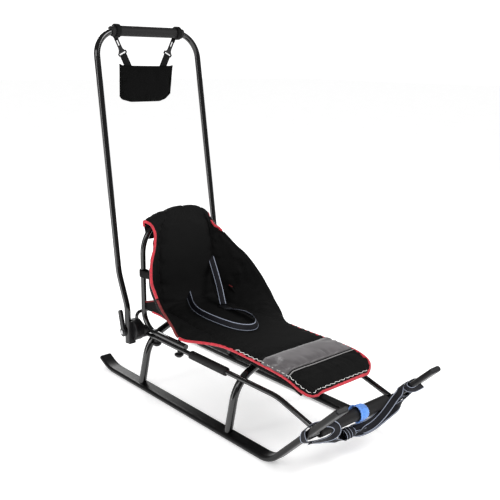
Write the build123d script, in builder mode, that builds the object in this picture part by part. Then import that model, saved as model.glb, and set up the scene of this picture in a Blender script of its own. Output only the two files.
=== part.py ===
from build123d import *
import math
import os

os.makedirs("parts", exist_ok=True)

# A child's push sled. X runs forward, Y to the sled's left, Z up; the runners stand on Z = 0.
# All sizes are in millimetres.

# Runners: flat-oval tube lying flat, bent up at both ends
TRACK = 345.0
RUNNER_WIDTH = 40.0
RUNNER_THICK = 15.0
RUNNER_WALL = 2.0
HEEL_CORNER_X = -451.2
HEEL_ANGLE = 26.0
HEEL_LENGTH = 48.6
HEEL_BEND = 120.0
TOE_CORNER_X = 285.0
TOE_ANGLE = 45.0
TOE_LENGTH = 295.8
TOE_BEND = 80.0
PLUG_GRIP = 14.0
PLUG_END = 5.0

# Leg arches: one round tube bent over the sled at each of two stations
LEG_TUBE = 22.0
ARCH_REAR_X = -285.5
ARCH_FRONT_X = 114.5
SHOULDER_Y = 146.0
SHOULDER_Z = 145.0
CROWN_Z = 206.6
SHOULDER_BEND = 95.0
CROWN_BEND = 150.0

# Side rails and the front cross tube
RAIL_TUBE = 14.0
RAIL_Y = 139.0
RAIL_Z = 155.0
RAIL_BEND_X = 259.0
RAIL_BEND = 160.0
RAIL_SLEEVE_TUBE = 24.0
RAIL_SLEEVE_REAR_X = -90.0
RAIL_SLEEVE_FRONT_X = 68.0
CROSS_TUBE = 20.0
CROSS_ALONG_TOE = 143.5
FOOT_FOAM = 32.0
FOOT_FOAM_HALF = 127.0
BAND_Y = 17.0
BAND_WIDTH = 36.0
BAND_WALL = 6.0

# Back frame: an upright hoop whose feet lie on the rails
BACK_TUBE = 16.0
BACK_X = -319.5
BACK_TOP_Z = 502.0
BACK_TOP_BEND = 105.0
BACK_FOOT_BEND = 55.0
BACK_FOOT_FRONT_X = -112.0
KNOB_XS = (-255.5, -145.5)
KNOB_HEAD = 26.0
KNOB_HEIGHT = 12.0
KNOB_STEM = 10.0
KNOB_DROP = 5.0
BOLT_SHAFT = 6.0

# Push handle and its folding joints
PIVOT_X = -335.0
PIVOT_Z = 166.0
HANDLE_TUBE = 18.0
HANDLE_Y = 187.0
HANDLE_TOP_Y = 179.5
HANDLE_KNEE_Z = 240.0
HANDLE_ELBOW_X = -377.0
HANDLE_ELBOW_Z = 337.0
HANDLE_TOP_X = -480.5
HANDLE_TOP_Z = 1030.0
HANDLE_KNEE_BEND = 80.0
HANDLE_ELBOW_BEND = 150.0
HANDLE_TOP_BEND = 75.0
HANDLE_TAIL = 37.0
GRIP_TUBE = 30.0
GRIP_LENGTH = 256.0
HINGE_RADIUS = 33.0
HINGE_RIM = 2.5
HINGE_INNER_Y = 150.0
HINGE_SPLIT_Y = 164.7
HINGE_GAP = 0.5
SOCKET_INNER_Y = 131.0
SOCKET_LENGTH = 52.0
SOCKET_HEIGHT = 24.0
SOCKET_SHIFT = 13.0
CRADLE_WIDTH = 23.0
CRADLE_LIP = 3.0
CRADLE_RISE = 30.0
PIN_SHAFT = 8.0
LEVER_LENGTH = 66.0
LEVER_WIDTH = 16.0
LEVER_HUB = 27.0
LEVER_THICK = 8.0
LEVER_BOSS = 2.4
LEVER_LEAN = 14.0

# Rear tie hoop between the two hinges
TIE_TUBE = 10.0
TIE_TOP_Z = 219.0
TIE_FOOT_Z = 190.0
TIE_BEND = 15.0

# Seat base tube under the mat, and the soft seat
BASE_TUBE = 16.0
BASE_Y = 58.0
BASE_REAR_X = -303.0
BASE_DROP_X = 280.0
BASE_FRONT_X = 328.0
BASE_DROP = 19.5
BASE_BEND = 40.0
BASE_CORNER = 24.0
MAT_HALF = 122.0
MAT_THICK = 12.0
MAT_FRONT_X = 348.0
MAT_CORNER = 22.0
BACK_PAD_HALF = 124.0
BACK_PAD_THICK = 13.0
BACK_PAD_TOP = 522.0
BACK_PAD_SIDE_TOP = 491.0
POCKET_BOTTOM_Z = 436.0
POCKET_WALL = 4.0
WING_THICK = 6.0
FLAP_THICK = 5.0
TIE_STRAP_WIDTH = 22.0
TIE_STRAP_THICK = 2.5
TIE_STRAP_Z = 340.0

# Harness: webbing bands and a buckle on the seat
WEB_WIDTH = 20.0
WEB_THICK = 2.4
BUCKLE_X = -176.0
BUCKLE_Y = 54.0
BUCKLE_LENGTH = 38.0
BUCKLE_WIDTH = 26.0
BUCKLE_THICK = 9.0
SHOULDER_Y_AT_BACK = 93.0
SHOULDER_Z_AT_BACK = 348.0
BELT_BEND = 16.0

# Bag under the grip, with a strap and a snap hook at each side
BAG_DROP = 94.0
BAG_REARWARD = 6.5
BAG_HALF = 93.0
BAG_FOOT_HALF = 88.0
BAG_DEPTH = 110.0
BAG_CORNER = 26.0
BAG_CORNER_RISE = 18.0
BAG_THICK = 14.0
STRAP_FOOT_Y = 66.0
HOOK_TOP_Y = 108.0
STRAP_WIDTH = 24.0
STRAP_THICK = 3.0
STRAP_LENGTH = 30.0
LOOP_DEPTH = 9.0
LOOP_BAR = 2.4
HOOK_WIDTH = 11.0
HOOK_BAR = 2.6
HOOK_THICK = 5.0
COLLAR_WIDTH = 10.0
COLLAR_WALL = 2.2

# Tow strap, wound round both runners' toes, with one span between
TOW_WIDTH = 22.0
TOW_WRAP = 9.5
TOW_NEAR_START = 105.5
TOW_NEAR_LENGTH = 26.0
TOW_FAR_START = 157.5
TOW_FAR_LENGTH = 80.0
TOW_FAN_THICK = 8.0
TOW_BUNDLE_HEIGHT = 30.0
TOW_BUNDLE_WIDTH = 26.0
TOW_ROUTE = (
    # from the near bundle to the far fan
    (392.0, -20.0, 74.0),
    (392.0, 4.0, 74.0),
    (398.0, 31.0, 67.0),
    (404.0, 60.0, 70.0),
)

# Soft pieces keep this distance from hard ones; pieces that meet keep a hair between them
SOFT_GAP = 0.4
SEAT_GAP = 0.2

SIDES = {"left": 1, "right": -1}


def keep(builder, name):
    """Label a finished piece and write it."""
    builder.part.label = name
    export_step(builder.part, f"parts/{name}.step")


def start_plane(line, across=(0, 1, 0)):
    """The plane square to the start of a path, with its X direction across it."""
    return Plane(origin=line @ 0, x_dir=across, z_dir=line % 0)


# Runners
HALF_TRACK = TRACK / 2
RUNNER_Z = RUNNER_THICK / 2
toe_cos = math.cos(math.radians(TOE_ANGLE))
toe_sin = math.sin(math.radians(TOE_ANGLE))
toe_along = Vector(toe_cos, 0, toe_sin)
heel_cos = math.cos(math.radians(HEEL_ANGLE))
heel_sin = math.sin(math.radians(HEEL_ANGLE))


def toe_plane(sign, along):
    """A plane square to a runner's toe, this far from its bend's corner."""
    corner = Vector(TOE_CORNER_X, sign * HALF_TRACK, RUNNER_Z)
    return Plane(origin=corner + toe_along * along, x_dir=(0, 1, 0), z_dir=toe_along)


TOE_X = TOE_CORNER_X + TOE_LENGTH * toe_cos
TOE_Z = RUNNER_Z + TOE_LENGTH * toe_sin
HEEL_X = HEEL_CORNER_X - HEEL_LENGTH * heel_cos
HEEL_Z = RUNNER_Z + HEEL_LENGTH * heel_sin
for side, sign in SIDES.items():
    y = sign * HALF_TRACK
    with BuildPart() as runner:
        with BuildLine() as runner_path:
            FilletPolyline(
                (HEEL_X, y, HEEL_Z),
                (HEEL_CORNER_X, y, RUNNER_Z),
                (TOE_CORNER_X, y, RUNNER_Z),
                (TOE_X, y, TOE_Z),
                radius=(HEEL_BEND, TOE_BEND),
            )
        with BuildSketch(start_plane(runner_path.line)):
            SlotOverall(RUNNER_WIDTH, RUNNER_THICK)
        sweep()
        ends = []
        for end, at, direction in (("toe", 1, 1), ("heel", 0, -1)):
            outward = (runner_path.line % at) * direction
            ends.append((end, Plane(origin=runner_path.line @ at, x_dir=(0, 1, 0), z_dir=outward)))
        for _, mouth in ends:
            with BuildSketch(mouth.offset(-PLUG_GRIP)):
                SlotOverall(RUNNER_WIDTH - 2 * RUNNER_WALL, RUNNER_THICK - 2 * RUNNER_WALL)
            extrude(amount=PLUG_GRIP + 1, mode=Mode.SUBTRACT)
    keep(runner, f"runner_{side}")

    # A plug closes each end of the tube, with a rounded head as wide as the tube
    for end, mouth in ends:
        with BuildPart() as plug:
            with BuildSketch(mouth.offset(SEAT_GAP / 2)):
                SlotOverall(RUNNER_WIDTH, RUNNER_THICK)
            extrude(amount=PLUG_END)
            fillet(plug.faces().sort_by(Axis(mouth.origin, mouth.z_dir))[-1].edges(), radius=PLUG_END * 0.8)
            with BuildSketch(mouth.offset(-PLUG_GRIP + 1)):
                SlotOverall(
                    RUNNER_WIDTH - 2 * RUNNER_WALL - SEAT_GAP,
                    RUNNER_THICK - 2 * RUNNER_WALL - SEAT_GAP,
                )
            extrude(amount=PLUG_GRIP - 1 + SEAT_GAP)
        keep(plug, f"{end}_cap_{side}")

# Leg arches
shoulder_slope = math.atan2(CROWN_Z - SHOULDER_Z, SHOULDER_Y)
for station, arch_x in (("rear", ARCH_REAR_X), ("front", ARCH_FRONT_X)):
    lean = (HALF_TRACK - SHOULDER_Y) / (SHOULDER_Z - RUNNER_THICK)
    foot_y = HALF_TRACK + lean * RUNNER_Z
    with BuildPart() as arch:
        with BuildLine() as arch_path:
            FilletPolyline(
                (arch_x, -foot_y, RUNNER_Z),
                (arch_x, -SHOULDER_Y, SHOULDER_Z),
                (arch_x, 0, CROWN_Z),
                (arch_x, SHOULDER_Y, SHOULDER_Z),
                (arch_x, foot_y, RUNNER_Z),
                radius=(SHOULDER_BEND, CROWN_BEND, SHOULDER_BEND),
            )
        with BuildSketch(start_plane(arch_path.line, across=(1, 0, 0))):
            Circle(LEG_TUBE / 2)
        sweep()
        split(bisect_by=Plane.XY.offset(RUNNER_THICK + SEAT_GAP / 2), keep=Keep.TOP)
        with BuildSketch(Plane.YZ.offset(arch_x)):
            with Locations((-RAIL_Y, RAIL_Z), (RAIL_Y, RAIL_Z)):
                Circle(RAIL_TUBE / 2 + SEAT_GAP / 2)
        extrude(amount=LEG_TUBE, both=True, mode=Mode.SUBTRACT)
    keep(arch, f"leg_arch_{station}")

# Front cross tube between the runners' sloping toes, with its foam foot rest and band
CROSS_X = TOE_CORNER_X + CROSS_ALONG_TOE * toe_cos
CROSS_Z = RUNNER_Z + CROSS_ALONG_TOE * toe_sin
cross_plane = Plane(origin=(CROSS_X, 0, CROSS_Z), x_dir=(1, 0, 0), z_dir=(0, -1, 0))
with BuildPart() as cross_tube:
    with BuildSketch(cross_plane):
        Circle(CROSS_TUBE / 2)
    extrude(amount=HALF_TRACK - (RUNNER_WIDTH - RUNNER_THICK) / 2, both=True)
    for sign in SIDES.values():
        with BuildSketch(toe_plane(sign, 0)):
            SlotOverall(RUNNER_WIDTH + SEAT_GAP, RUNNER_THICK + SEAT_GAP)
        extrude(amount=TOE_LENGTH, mode=Mode.SUBTRACT)
keep(cross_tube, "front_cross_tube")

with BuildPart() as foot_foam:
    with BuildSketch(cross_plane):
        Circle(FOOT_FOAM / 2)
        Circle(CROSS_TUBE / 2 + SEAT_GAP, mode=Mode.SUBTRACT)
    extrude(amount=FOOT_FOAM_HALF, both=True)
    outer_rims = foot_foam.edges().filter_by(GeomType.CIRCLE).sort_by(SortBy.RADIUS)[-2:]
    fillet(outer_rims, radius=2.5)
keep(foot_foam, "foot_rest_foam")

with BuildPart() as band:
    with BuildSketch(cross_plane.offset(-BAND_Y)):
        Circle(FOOT_FOAM / 2 + BAND_WALL)
        Circle(FOOT_FOAM / 2 + SOFT_GAP, mode=Mode.SUBTRACT)
    extrude(amount=BAND_WIDTH / 2, both=True)
keep(band, "foot_rest_band")

# Side rails from the hinges to the cross tube, with foam sleeves and the bolt holes for the back frame
RAIL_REAR_X = PIVOT_X - 10.0
RAIL_END_Z = CROSS_Z + CROSS_TUBE / 2 + 1.0
BACK_FOOT_Z = RAIL_Z + RAIL_TUBE / 2 + BACK_TUBE / 2 + SEAT_GAP
for side, sign in SIDES.items():
    y = sign * RAIL_Y
    with BuildPart() as rail:
        with BuildLine() as rail_path:
            FilletPolyline(
                (RAIL_REAR_X, y, RAIL_Z),
                (RAIL_BEND_X, y, RAIL_Z),
                (CROSS_X, y, RAIL_END_Z),
                radius=RAIL_BEND,
            )
        with BuildSketch(start_plane(rail_path.line)):
            Circle(RAIL_TUBE / 2)
        sweep()
        with BuildSketch(cross_plane):
            Circle(CROSS_TUBE / 2 + SEAT_GAP / 2)
        extrude(amount=HALF_TRACK, both=True, mode=Mode.SUBTRACT)
        with BuildSketch(Plane.XY.offset(RAIL_Z)):
            with Locations([(x, y) for x in KNOB_XS]):
                Circle(BOLT_SHAFT / 2 + SEAT_GAP)
        extrude(amount=RAIL_TUBE, both=True, mode=Mode.SUBTRACT)
    keep(rail, f"rail_{side}")

    with BuildPart() as sleeve:
        with BuildSketch(Plane(origin=(RAIL_SLEEVE_REAR_X, y, RAIL_Z), x_dir=(0, 1, 0), z_dir=(1, 0, 0))):
            Circle(RAIL_SLEEVE_TUBE / 2)
            Circle(RAIL_TUBE / 2 + SEAT_GAP, mode=Mode.SUBTRACT)
        extrude(amount=RAIL_SLEEVE_FRONT_X - RAIL_SLEEVE_REAR_X)
        outer_rims = sleeve.edges().filter_by(GeomType.CIRCLE).sort_by(SortBy.RADIUS)[-2:]
        chamfer(outer_rims, length=4)
    keep(sleeve, f"rail_sleeve_{side}")

# Back frame
with BuildPart() as back_frame:
    with BuildLine() as back_path:
        FilletPolyline(
            (BACK_FOOT_FRONT_X, -RAIL_Y, BACK_FOOT_Z),
            (BACK_X, -RAIL_Y, BACK_FOOT_Z),
            (BACK_X, -RAIL_Y, BACK_TOP_Z),
            (BACK_X, RAIL_Y, BACK_TOP_Z),
            (BACK_X, RAIL_Y, BACK_FOOT_Z),
            (BACK_FOOT_FRONT_X, RAIL_Y, BACK_FOOT_Z),
            radius=(BACK_FOOT_BEND, BACK_TOP_BEND, BACK_TOP_BEND, BACK_FOOT_BEND),
        )
    with BuildSketch(start_plane(back_path.line)):
        Circle(BACK_TUBE / 2)
    sweep()
    with BuildSketch(Plane.XY.offset(BACK_FOOT_Z)):
        with Locations([(x, sign * RAIL_Y) for x in KNOB_XS for sign in SIDES.values()]):
            Circle(BOLT_SHAFT / 2 + SEAT_GAP)
    extrude(amount=BACK_TUBE, both=True, mode=Mode.SUBTRACT)
keep(back_frame, "back_frame")

# Knob bolts: a mushroom knob under the rail, a shaft through both tubes and a domed head on top
KNOB_TOP_Z = RAIL_Z - RAIL_TUBE / 2 - SEAT_GAP / 2
HEAD_SEAT_Z = BACK_FOOT_Z + BACK_TUBE / 2 + SEAT_GAP / 2
for side, sign in SIDES.items():
    for place, knob_x in zip(("rear", "front"), KNOB_XS):
        with BuildPart() as knob:
            with BuildSketch(Plane(origin=(knob_x, sign * RAIL_Y, 0), x_dir=(1, 0, 0), z_dir=(0, -1, 0))):
                with BuildLine():
                    Polyline(
                        (0, KNOB_TOP_Z - KNOB_DROP - KNOB_HEIGHT),
                        (KNOB_HEAD * 0.3, KNOB_TOP_Z - KNOB_DROP - KNOB_HEIGHT),
                        (KNOB_HEAD / 2, KNOB_TOP_Z - KNOB_DROP - KNOB_HEIGHT * 0.6),
                        (KNOB_HEAD / 2, KNOB_TOP_Z - KNOB_DROP - KNOB_HEIGHT * 0.25),
                        (KNOB_STEM / 2, KNOB_TOP_Z - KNOB_DROP),
                        (KNOB_STEM / 2, KNOB_TOP_Z),
                        (BOLT_SHAFT / 2, KNOB_TOP_Z),
                        (BOLT_SHAFT / 2, HEAD_SEAT_Z),
                        (BOLT_SHAFT, HEAD_SEAT_Z),
                        (BOLT_SHAFT * 0.6, HEAD_SEAT_Z + BOLT_SHAFT * 0.6),
                        (0, HEAD_SEAT_Z + BOLT_SHAFT * 0.6),
                        close=True,
                    )
                make_face()
            revolve(axis=Axis((knob_x, sign * RAIL_Y, 0), (0, 0, 1)))
        keep(knob, f"knob_{place}_{side}")

# Folding joints: a fixed half socketed on the rail and a moving half that cradles the handle tube
TIE_X = BACK_X - BACK_TUBE / 2 - TIE_TUBE / 2 - SEAT_GAP
TIE_Y = (HINGE_INNER_Y + HINGE_SPLIT_Y) / 2
HANDLE_INNER_Y = HANDLE_Y - HANDLE_TUBE / 2
HANDLE_OUTER_Y = HANDLE_Y + HANDLE_TUBE / 2
LEVER_Y = HANDLE_OUTER_Y + SEAT_GAP / 2 + LEVER_BOSS


def rim(part, at):
    """The edges of a hinge half's disc where its flat face lies, this far out along Y."""
    return part.edges().filter_by(GeomType.CIRCLE).filter_by(
        lambda e: abs(abs(e.center().Y) - at) < 0.1 and abs(e.radius - HINGE_RADIUS) < 0.1
    )


for side, sign in SIDES.items():
    pivot_plane = Plane(origin=(PIVOT_X, 0, PIVOT_Z), x_dir=(-sign, 0, 0), z_dir=(0, sign, 0))
    with BuildPart() as base:
        with BuildSketch(pivot_plane.offset(HINGE_INNER_Y)):
            Circle(HINGE_RADIUS)
        extrude(amount=HINGE_SPLIT_Y - HINGE_INNER_Y)
        fillet(rim(base, HINGE_INNER_Y), radius=HINGE_RIM)
        with BuildSketch(pivot_plane.offset(HINGE_INNER_Y)):
            Circle(HINGE_RADIUS - HINGE_RIM)
        with BuildSketch(pivot_plane.offset(SOCKET_INNER_Y)):
            with Locations((-sign * SOCKET_SHIFT, RAIL_Z - PIVOT_Z)):
                RectangleRounded(SOCKET_LENGTH, SOCKET_HEIGHT, 9)
        loft(ruled=True)
        rail_end = (RAIL_REAR_X - SEAT_GAP, sign * RAIL_Y, RAIL_Z)
        with BuildSketch(Plane(origin=rail_end, x_dir=(0, 1, 0), z_dir=(1, 0, 0))):
            Circle(RAIL_TUBE / 2 + SEAT_GAP / 2)
        extrude(amount=HINGE_RADIUS * 2, mode=Mode.SUBTRACT)
        with BuildSketch(pivot_plane.offset(HINGE_INNER_Y - 5.5)):
            Circle(PIN_SHAFT / 2 + SEAT_GAP / 2)
        extrude(amount=HINGE_RADIUS, mode=Mode.SUBTRACT)
        with BuildSketch(Plane.XY.offset(TIE_FOOT_Z)):
            with Locations((TIE_X, sign * TIE_Y)):
                Circle(TIE_TUBE / 2 + SEAT_GAP / 2)
        extrude(amount=HINGE_RADIUS, mode=Mode.SUBTRACT)
    keep(base, f"hinge_base_{side}")

    with BuildPart() as cap:
        with BuildSketch(pivot_plane.offset(HINGE_SPLIT_Y + HINGE_GAP)):
            Circle(HINGE_RADIUS)
        extrude(amount=HANDLE_INNER_Y - HINGE_SPLIT_Y - HINGE_GAP)
        fillet(rim(cap, HANDLE_INNER_Y), radius=HINGE_RIM)
        cradle_from = HINGE_SPLIT_Y + HINGE_GAP + HINGE_RIM
        cradle_to = HANDLE_Y + CRADLE_LIP
        with BuildSketch(Plane.XY.offset(PIVOT_Z - HANDLE_TAIL - 2)):
            with Locations((PIVOT_X, sign * (cradle_from + cradle_to) / 2)):
                RectangleRounded(CRADLE_WIDTH, cradle_to - cradle_from, 2)
        extrude(amount=HANDLE_TAIL + 2 + CRADLE_RISE)
        with BuildSketch(Plane.XY.offset(PIVOT_Z - HANDLE_TAIL - SEAT_GAP)):
            with Locations((PIVOT_X, sign * HANDLE_Y)):
                Circle(HANDLE_TUBE / 2 + SEAT_GAP / 2)
        extrude(amount=HANDLE_TAIL * 3, mode=Mode.SUBTRACT)
        with BuildSketch(pivot_plane.offset(HINGE_SPLIT_Y)):
            Circle(PIN_SHAFT / 2 + SEAT_GAP / 2)
        extrude(amount=HINGE_RADIUS * 2, mode=Mode.SUBTRACT)
    keep(cap, f"hinge_cap_{side}")

    lean = math.radians(LEVER_LEAN)
    lever_across = (-sign * math.cos(lean), 0, -sign * math.sin(lean))
    lever_plane = Plane(origin=(PIVOT_X, 0, PIVOT_Z), x_dir=lever_across, z_dir=(0, sign, 0))
    with BuildPart() as lever:
        with BuildSketch(lever_plane.offset(LEVER_Y - LEVER_BOSS)):
            Circle(PIN_SHAFT)
        extrude(amount=LEVER_BOSS)
        with BuildSketch(lever_plane.offset(LEVER_Y)):
            Circle(LEVER_HUB / 2)
            with BuildLine():
                Polyline(
                    (-LEVER_WIDTH / 2, 0),
                    (LEVER_WIDTH / 2, 0),
                    (LEVER_WIDTH * 0.44, LEVER_LENGTH * 0.93),
                    (LEVER_WIDTH * 0.24, LEVER_LENGTH),
                    (-LEVER_WIDTH * 0.24, LEVER_LENGTH),
                    (-LEVER_WIDTH * 0.44, LEVER_LENGTH * 0.93),
                    close=True,
                )
            make_face()
        extrude(amount=LEVER_THICK)
        with BuildSketch(lever_plane.offset(LEVER_Y - LEVER_BOSS)):
            Circle(PIN_SHAFT / 2 + SEAT_GAP / 2)
        extrude(amount=LEVER_BOSS + LEVER_THICK, mode=Mode.SUBTRACT)
    keep(lever, f"hinge_lever_{side}")

    with BuildPart() as pin:
        with BuildSketch(pivot_plane.offset(HINGE_INNER_Y - 5)):
            Circle(PIN_SHAFT / 2)
        extrude(amount=LEVER_Y + LEVER_THICK - HINGE_INNER_Y + 5.1)
        with BuildSketch(pivot_plane.offset(LEVER_Y + LEVER_THICK + SEAT_GAP / 2)):
            Circle(PIN_SHAFT * 0.8)
        extrude(amount=3)
    keep(pin, f"hinge_pin_{side}")

# Rear tie hoop
with BuildPart() as tie:
    with BuildLine() as tie_path:
        FilletPolyline(
            (TIE_X, -TIE_Y, TIE_FOOT_Z + SEAT_GAP),
            (TIE_X, -TIE_Y, TIE_TOP_Z),
            (TIE_X, TIE_Y, TIE_TOP_Z),
            (TIE_X, TIE_Y, TIE_FOOT_Z + SEAT_GAP),
            radius=TIE_BEND,
        )
    with BuildSketch(start_plane(tie_path.line)):
        Circle(TIE_TUBE / 2)
    sweep()
keep(tie, "rear_tie_hoop")

# Push handle with its foam grip
with BuildPart() as handle:
    with BuildLine() as handle_path:
        tail = (PIVOT_X, -HANDLE_Y, PIVOT_Z - HANDLE_TAIL)
        knee = (PIVOT_X, -HANDLE_Y, HANDLE_KNEE_Z)
        elbow = (HANDLE_ELBOW_X, -HANDLE_Y, HANDLE_ELBOW_Z)
        top = (HANDLE_TOP_X, -HANDLE_TOP_Y, HANDLE_TOP_Z)
        right_side = [tail, knee, elbow, top]
        left_side = [(x, -y, z) for x, y, z in reversed(right_side)]
        bends = (HANDLE_KNEE_BEND, HANDLE_ELBOW_BEND, HANDLE_TOP_BEND)
        FilletPolyline(*right_side, *left_side, radius=bends + bends[::-1])
    with BuildSketch(start_plane(handle_path.line)):
        Circle(HANDLE_TUBE / 2)
    sweep()
    with BuildSketch(Plane(origin=(PIVOT_X, 0, PIVOT_Z), x_dir=(1, 0, 0), z_dir=(0, -1, 0))):
        Circle(PIN_SHAFT / 2 + SEAT_GAP / 2)
    extrude(amount=HANDLE_Y * 1.2, both=True, mode=Mode.SUBTRACT)
keep(handle, "push_handle")

grip_plane = Plane(origin=(HANDLE_TOP_X, 0, HANDLE_TOP_Z), x_dir=(1, 0, 0), z_dir=(0, -1, 0))
handle_line = Wire(handle_path.edges())
grip_share = GRIP_LENGTH / 2 / handle_line.length
grip_line = handle_line.trim(0.5 - grip_share, 0.5 + grip_share)
with BuildPart() as grip:
    with BuildSketch(start_plane(grip_line, across=(1, 0, 0))):
        Circle(GRIP_TUBE / 2)
        Circle(HANDLE_TUBE / 2 + SEAT_GAP, mode=Mode.SUBTRACT)
    sweep(path=grip_line)
    outer_circles = grip.edges().filter_by(GeomType.CIRCLE).filter_by(lambda e: e.radius > GRIP_TUBE / 2 - 0.1)
    end_rims = [outer_circles.sort_by(Axis.Y)[0], outer_circles.sort_by(Axis.Y)[-1]]
    fillet(end_rims, radius=4)
keep(grip, "handle_grip")

# Seat base tube: a long loop on the arches' shoulders, dropped at the front
shoulder_at_base = SHOULDER_Z + (SHOULDER_Y - BASE_Y) * math.tan(shoulder_slope)
BASE_Z = shoulder_at_base + ((LEG_TUBE + BASE_TUBE) / 2 + SEAT_GAP) / math.cos(shoulder_slope)
with BuildPart() as seat_base:
    with BuildLine() as base_path:
        FilletPolyline(
            (BASE_REAR_X, -BASE_Y, BASE_Z),
            (BASE_DROP_X, -BASE_Y, BASE_Z),
            (BASE_FRONT_X, -BASE_Y, BASE_Z - BASE_DROP),
            (BASE_FRONT_X, BASE_Y, BASE_Z - BASE_DROP),
            (BASE_DROP_X, BASE_Y, BASE_Z),
            (BASE_REAR_X, BASE_Y, BASE_Z),
            radius=(BASE_BEND, BASE_CORNER, BASE_CORNER, BASE_BEND),
        )
    with BuildSketch(start_plane(base_path.line)):
        Circle(BASE_TUBE / 2)
    sweep()
keep(seat_base, "seat_base_tube")

# Seat mat, bent down over the front of the base tube
MAT_BOTTOM = BASE_Z + BASE_TUBE / 2 + SOFT_GAP
BACK_PAD_REAR_X = BACK_X + BACK_TUBE / 2 + SOFT_GAP
BACK_PAD_FRONT_X = BACK_PAD_REAR_X + BACK_PAD_THICK
MAT_REAR_X = BACK_PAD_FRONT_X + SOFT_GAP
MAT_DROP = BASE_DROP * (MAT_FRONT_X - BASE_DROP_X) / (BASE_FRONT_X - BASE_DROP_X)
with BuildPart() as mat:
    with BuildSketch(Plane.XZ):
        with BuildLine():
            Polyline(
                (MAT_REAR_X, MAT_BOTTOM),
                (BASE_DROP_X + 4, MAT_BOTTOM),
                (MAT_FRONT_X, MAT_BOTTOM - MAT_DROP),
                (MAT_FRONT_X + MAT_THICK * 0.3, MAT_BOTTOM - MAT_DROP + MAT_THICK),
                (BASE_DROP_X + 6, MAT_BOTTOM + MAT_THICK),
                (MAT_REAR_X, MAT_BOTTOM + MAT_THICK),
                close=True,
            )
        make_face()
    extrude(amount=MAT_HALF, both=True)
    front_edges = mat.faces().sort_by(Axis.X)[-1].edges()
    fillet(front_edges.filter_by(lambda e: abs(e.center().Y) > MAT_HALF - 0.1), MAT_CORNER)
keep(mat, "seat_mat")

# Seat back: a pad before the back frame, with a pocket that drops over the frame's top
def back_outline(plane, bottom_z):
    """The pad's face on a plane, from bottom_z to its crowned top edge."""
    with BuildSketch(plane) as outline:
        with BuildLine():
            Polyline(
                (-BACK_PAD_HALF, BACK_PAD_SIDE_TOP),
                (-BACK_PAD_HALF, bottom_z),
                (BACK_PAD_HALF, bottom_z),
                (BACK_PAD_HALF, BACK_PAD_SIDE_TOP),
            )
            ThreePointArc(
                (BACK_PAD_HALF, BACK_PAD_SIDE_TOP), (0, BACK_PAD_TOP), (-BACK_PAD_HALF, BACK_PAD_SIDE_TOP)
            )
        make_face()
    return outline.sketch


POCKET_REAR_X = BACK_X - BACK_TUBE / 2 - POCKET_WALL
pad_face = back_outline(Plane.YZ.offset(BACK_PAD_REAR_X), MAT_BOTTOM)
pocket_face = back_outline(Plane.YZ.offset(POCKET_REAR_X), POCKET_BOTTOM_Z)
with BuildPart() as back_pad:
    extrude(pad_face, amount=BACK_PAD_THICK)
    extrude(pocket_face, amount=BACK_PAD_REAR_X - POCKET_REAR_X)
    with BuildSketch(start_plane(back_path.line)):
        Circle(BACK_TUBE / 2 + SOFT_GAP)
    sweep(path=back_path.line, mode=Mode.SUBTRACT)
keep(back_pad, "seat_back")

# Seat wings: side panels that flare from the mat's edge out and up to the back's top corners
WING_BASE_Y = MAT_HALF + SOFT_GAP
WING_BASE_Z = MAT_BOTTOM + 1
WING_STATIONS = (
    # x, half width at the free edge, height of the free edge
    (BACK_PAD_FRONT_X + SOFT_GAP, 114.0, 474.0),
    (-265.0, 131.0, 428.0),
    (-225.0, 173.0, 368.0),
    (-185.0, 190.0, 322.0),
    (-145.0, 193.0, 282.0),
    (-105.0, 191.0, 244.0),
    (-65.0, 182.0, 221.0),
    (-25.0, 153.0, 218.0),
    (25.0, 133.0, 218.0),
)
for side, sign in SIDES.items():
    with BuildPart() as wing:
        for x, edge_y, edge_z in WING_STATIONS:
            run = edge_y - WING_BASE_Y
            rise = edge_z - WING_BASE_Z
            length = math.hypot(run, rise)
            off_y = WING_THICK * rise / length
            off_z = -WING_THICK * run / length
            corners = (
                (WING_BASE_Y, WING_BASE_Z),
                (edge_y, edge_z),
                (edge_y + off_y, edge_z + off_z),
                (WING_BASE_Y + off_y, WING_BASE_Z + off_z),
            )
            with BuildSketch(Plane.YZ.offset(x)):
                with BuildLine():
                    Polyline(*[(sign * y, z) for y, z in corners], close=True)
                make_face()
        loft(ruled=True)
    keep(wing, f"seat_wing_{side}")

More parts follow.
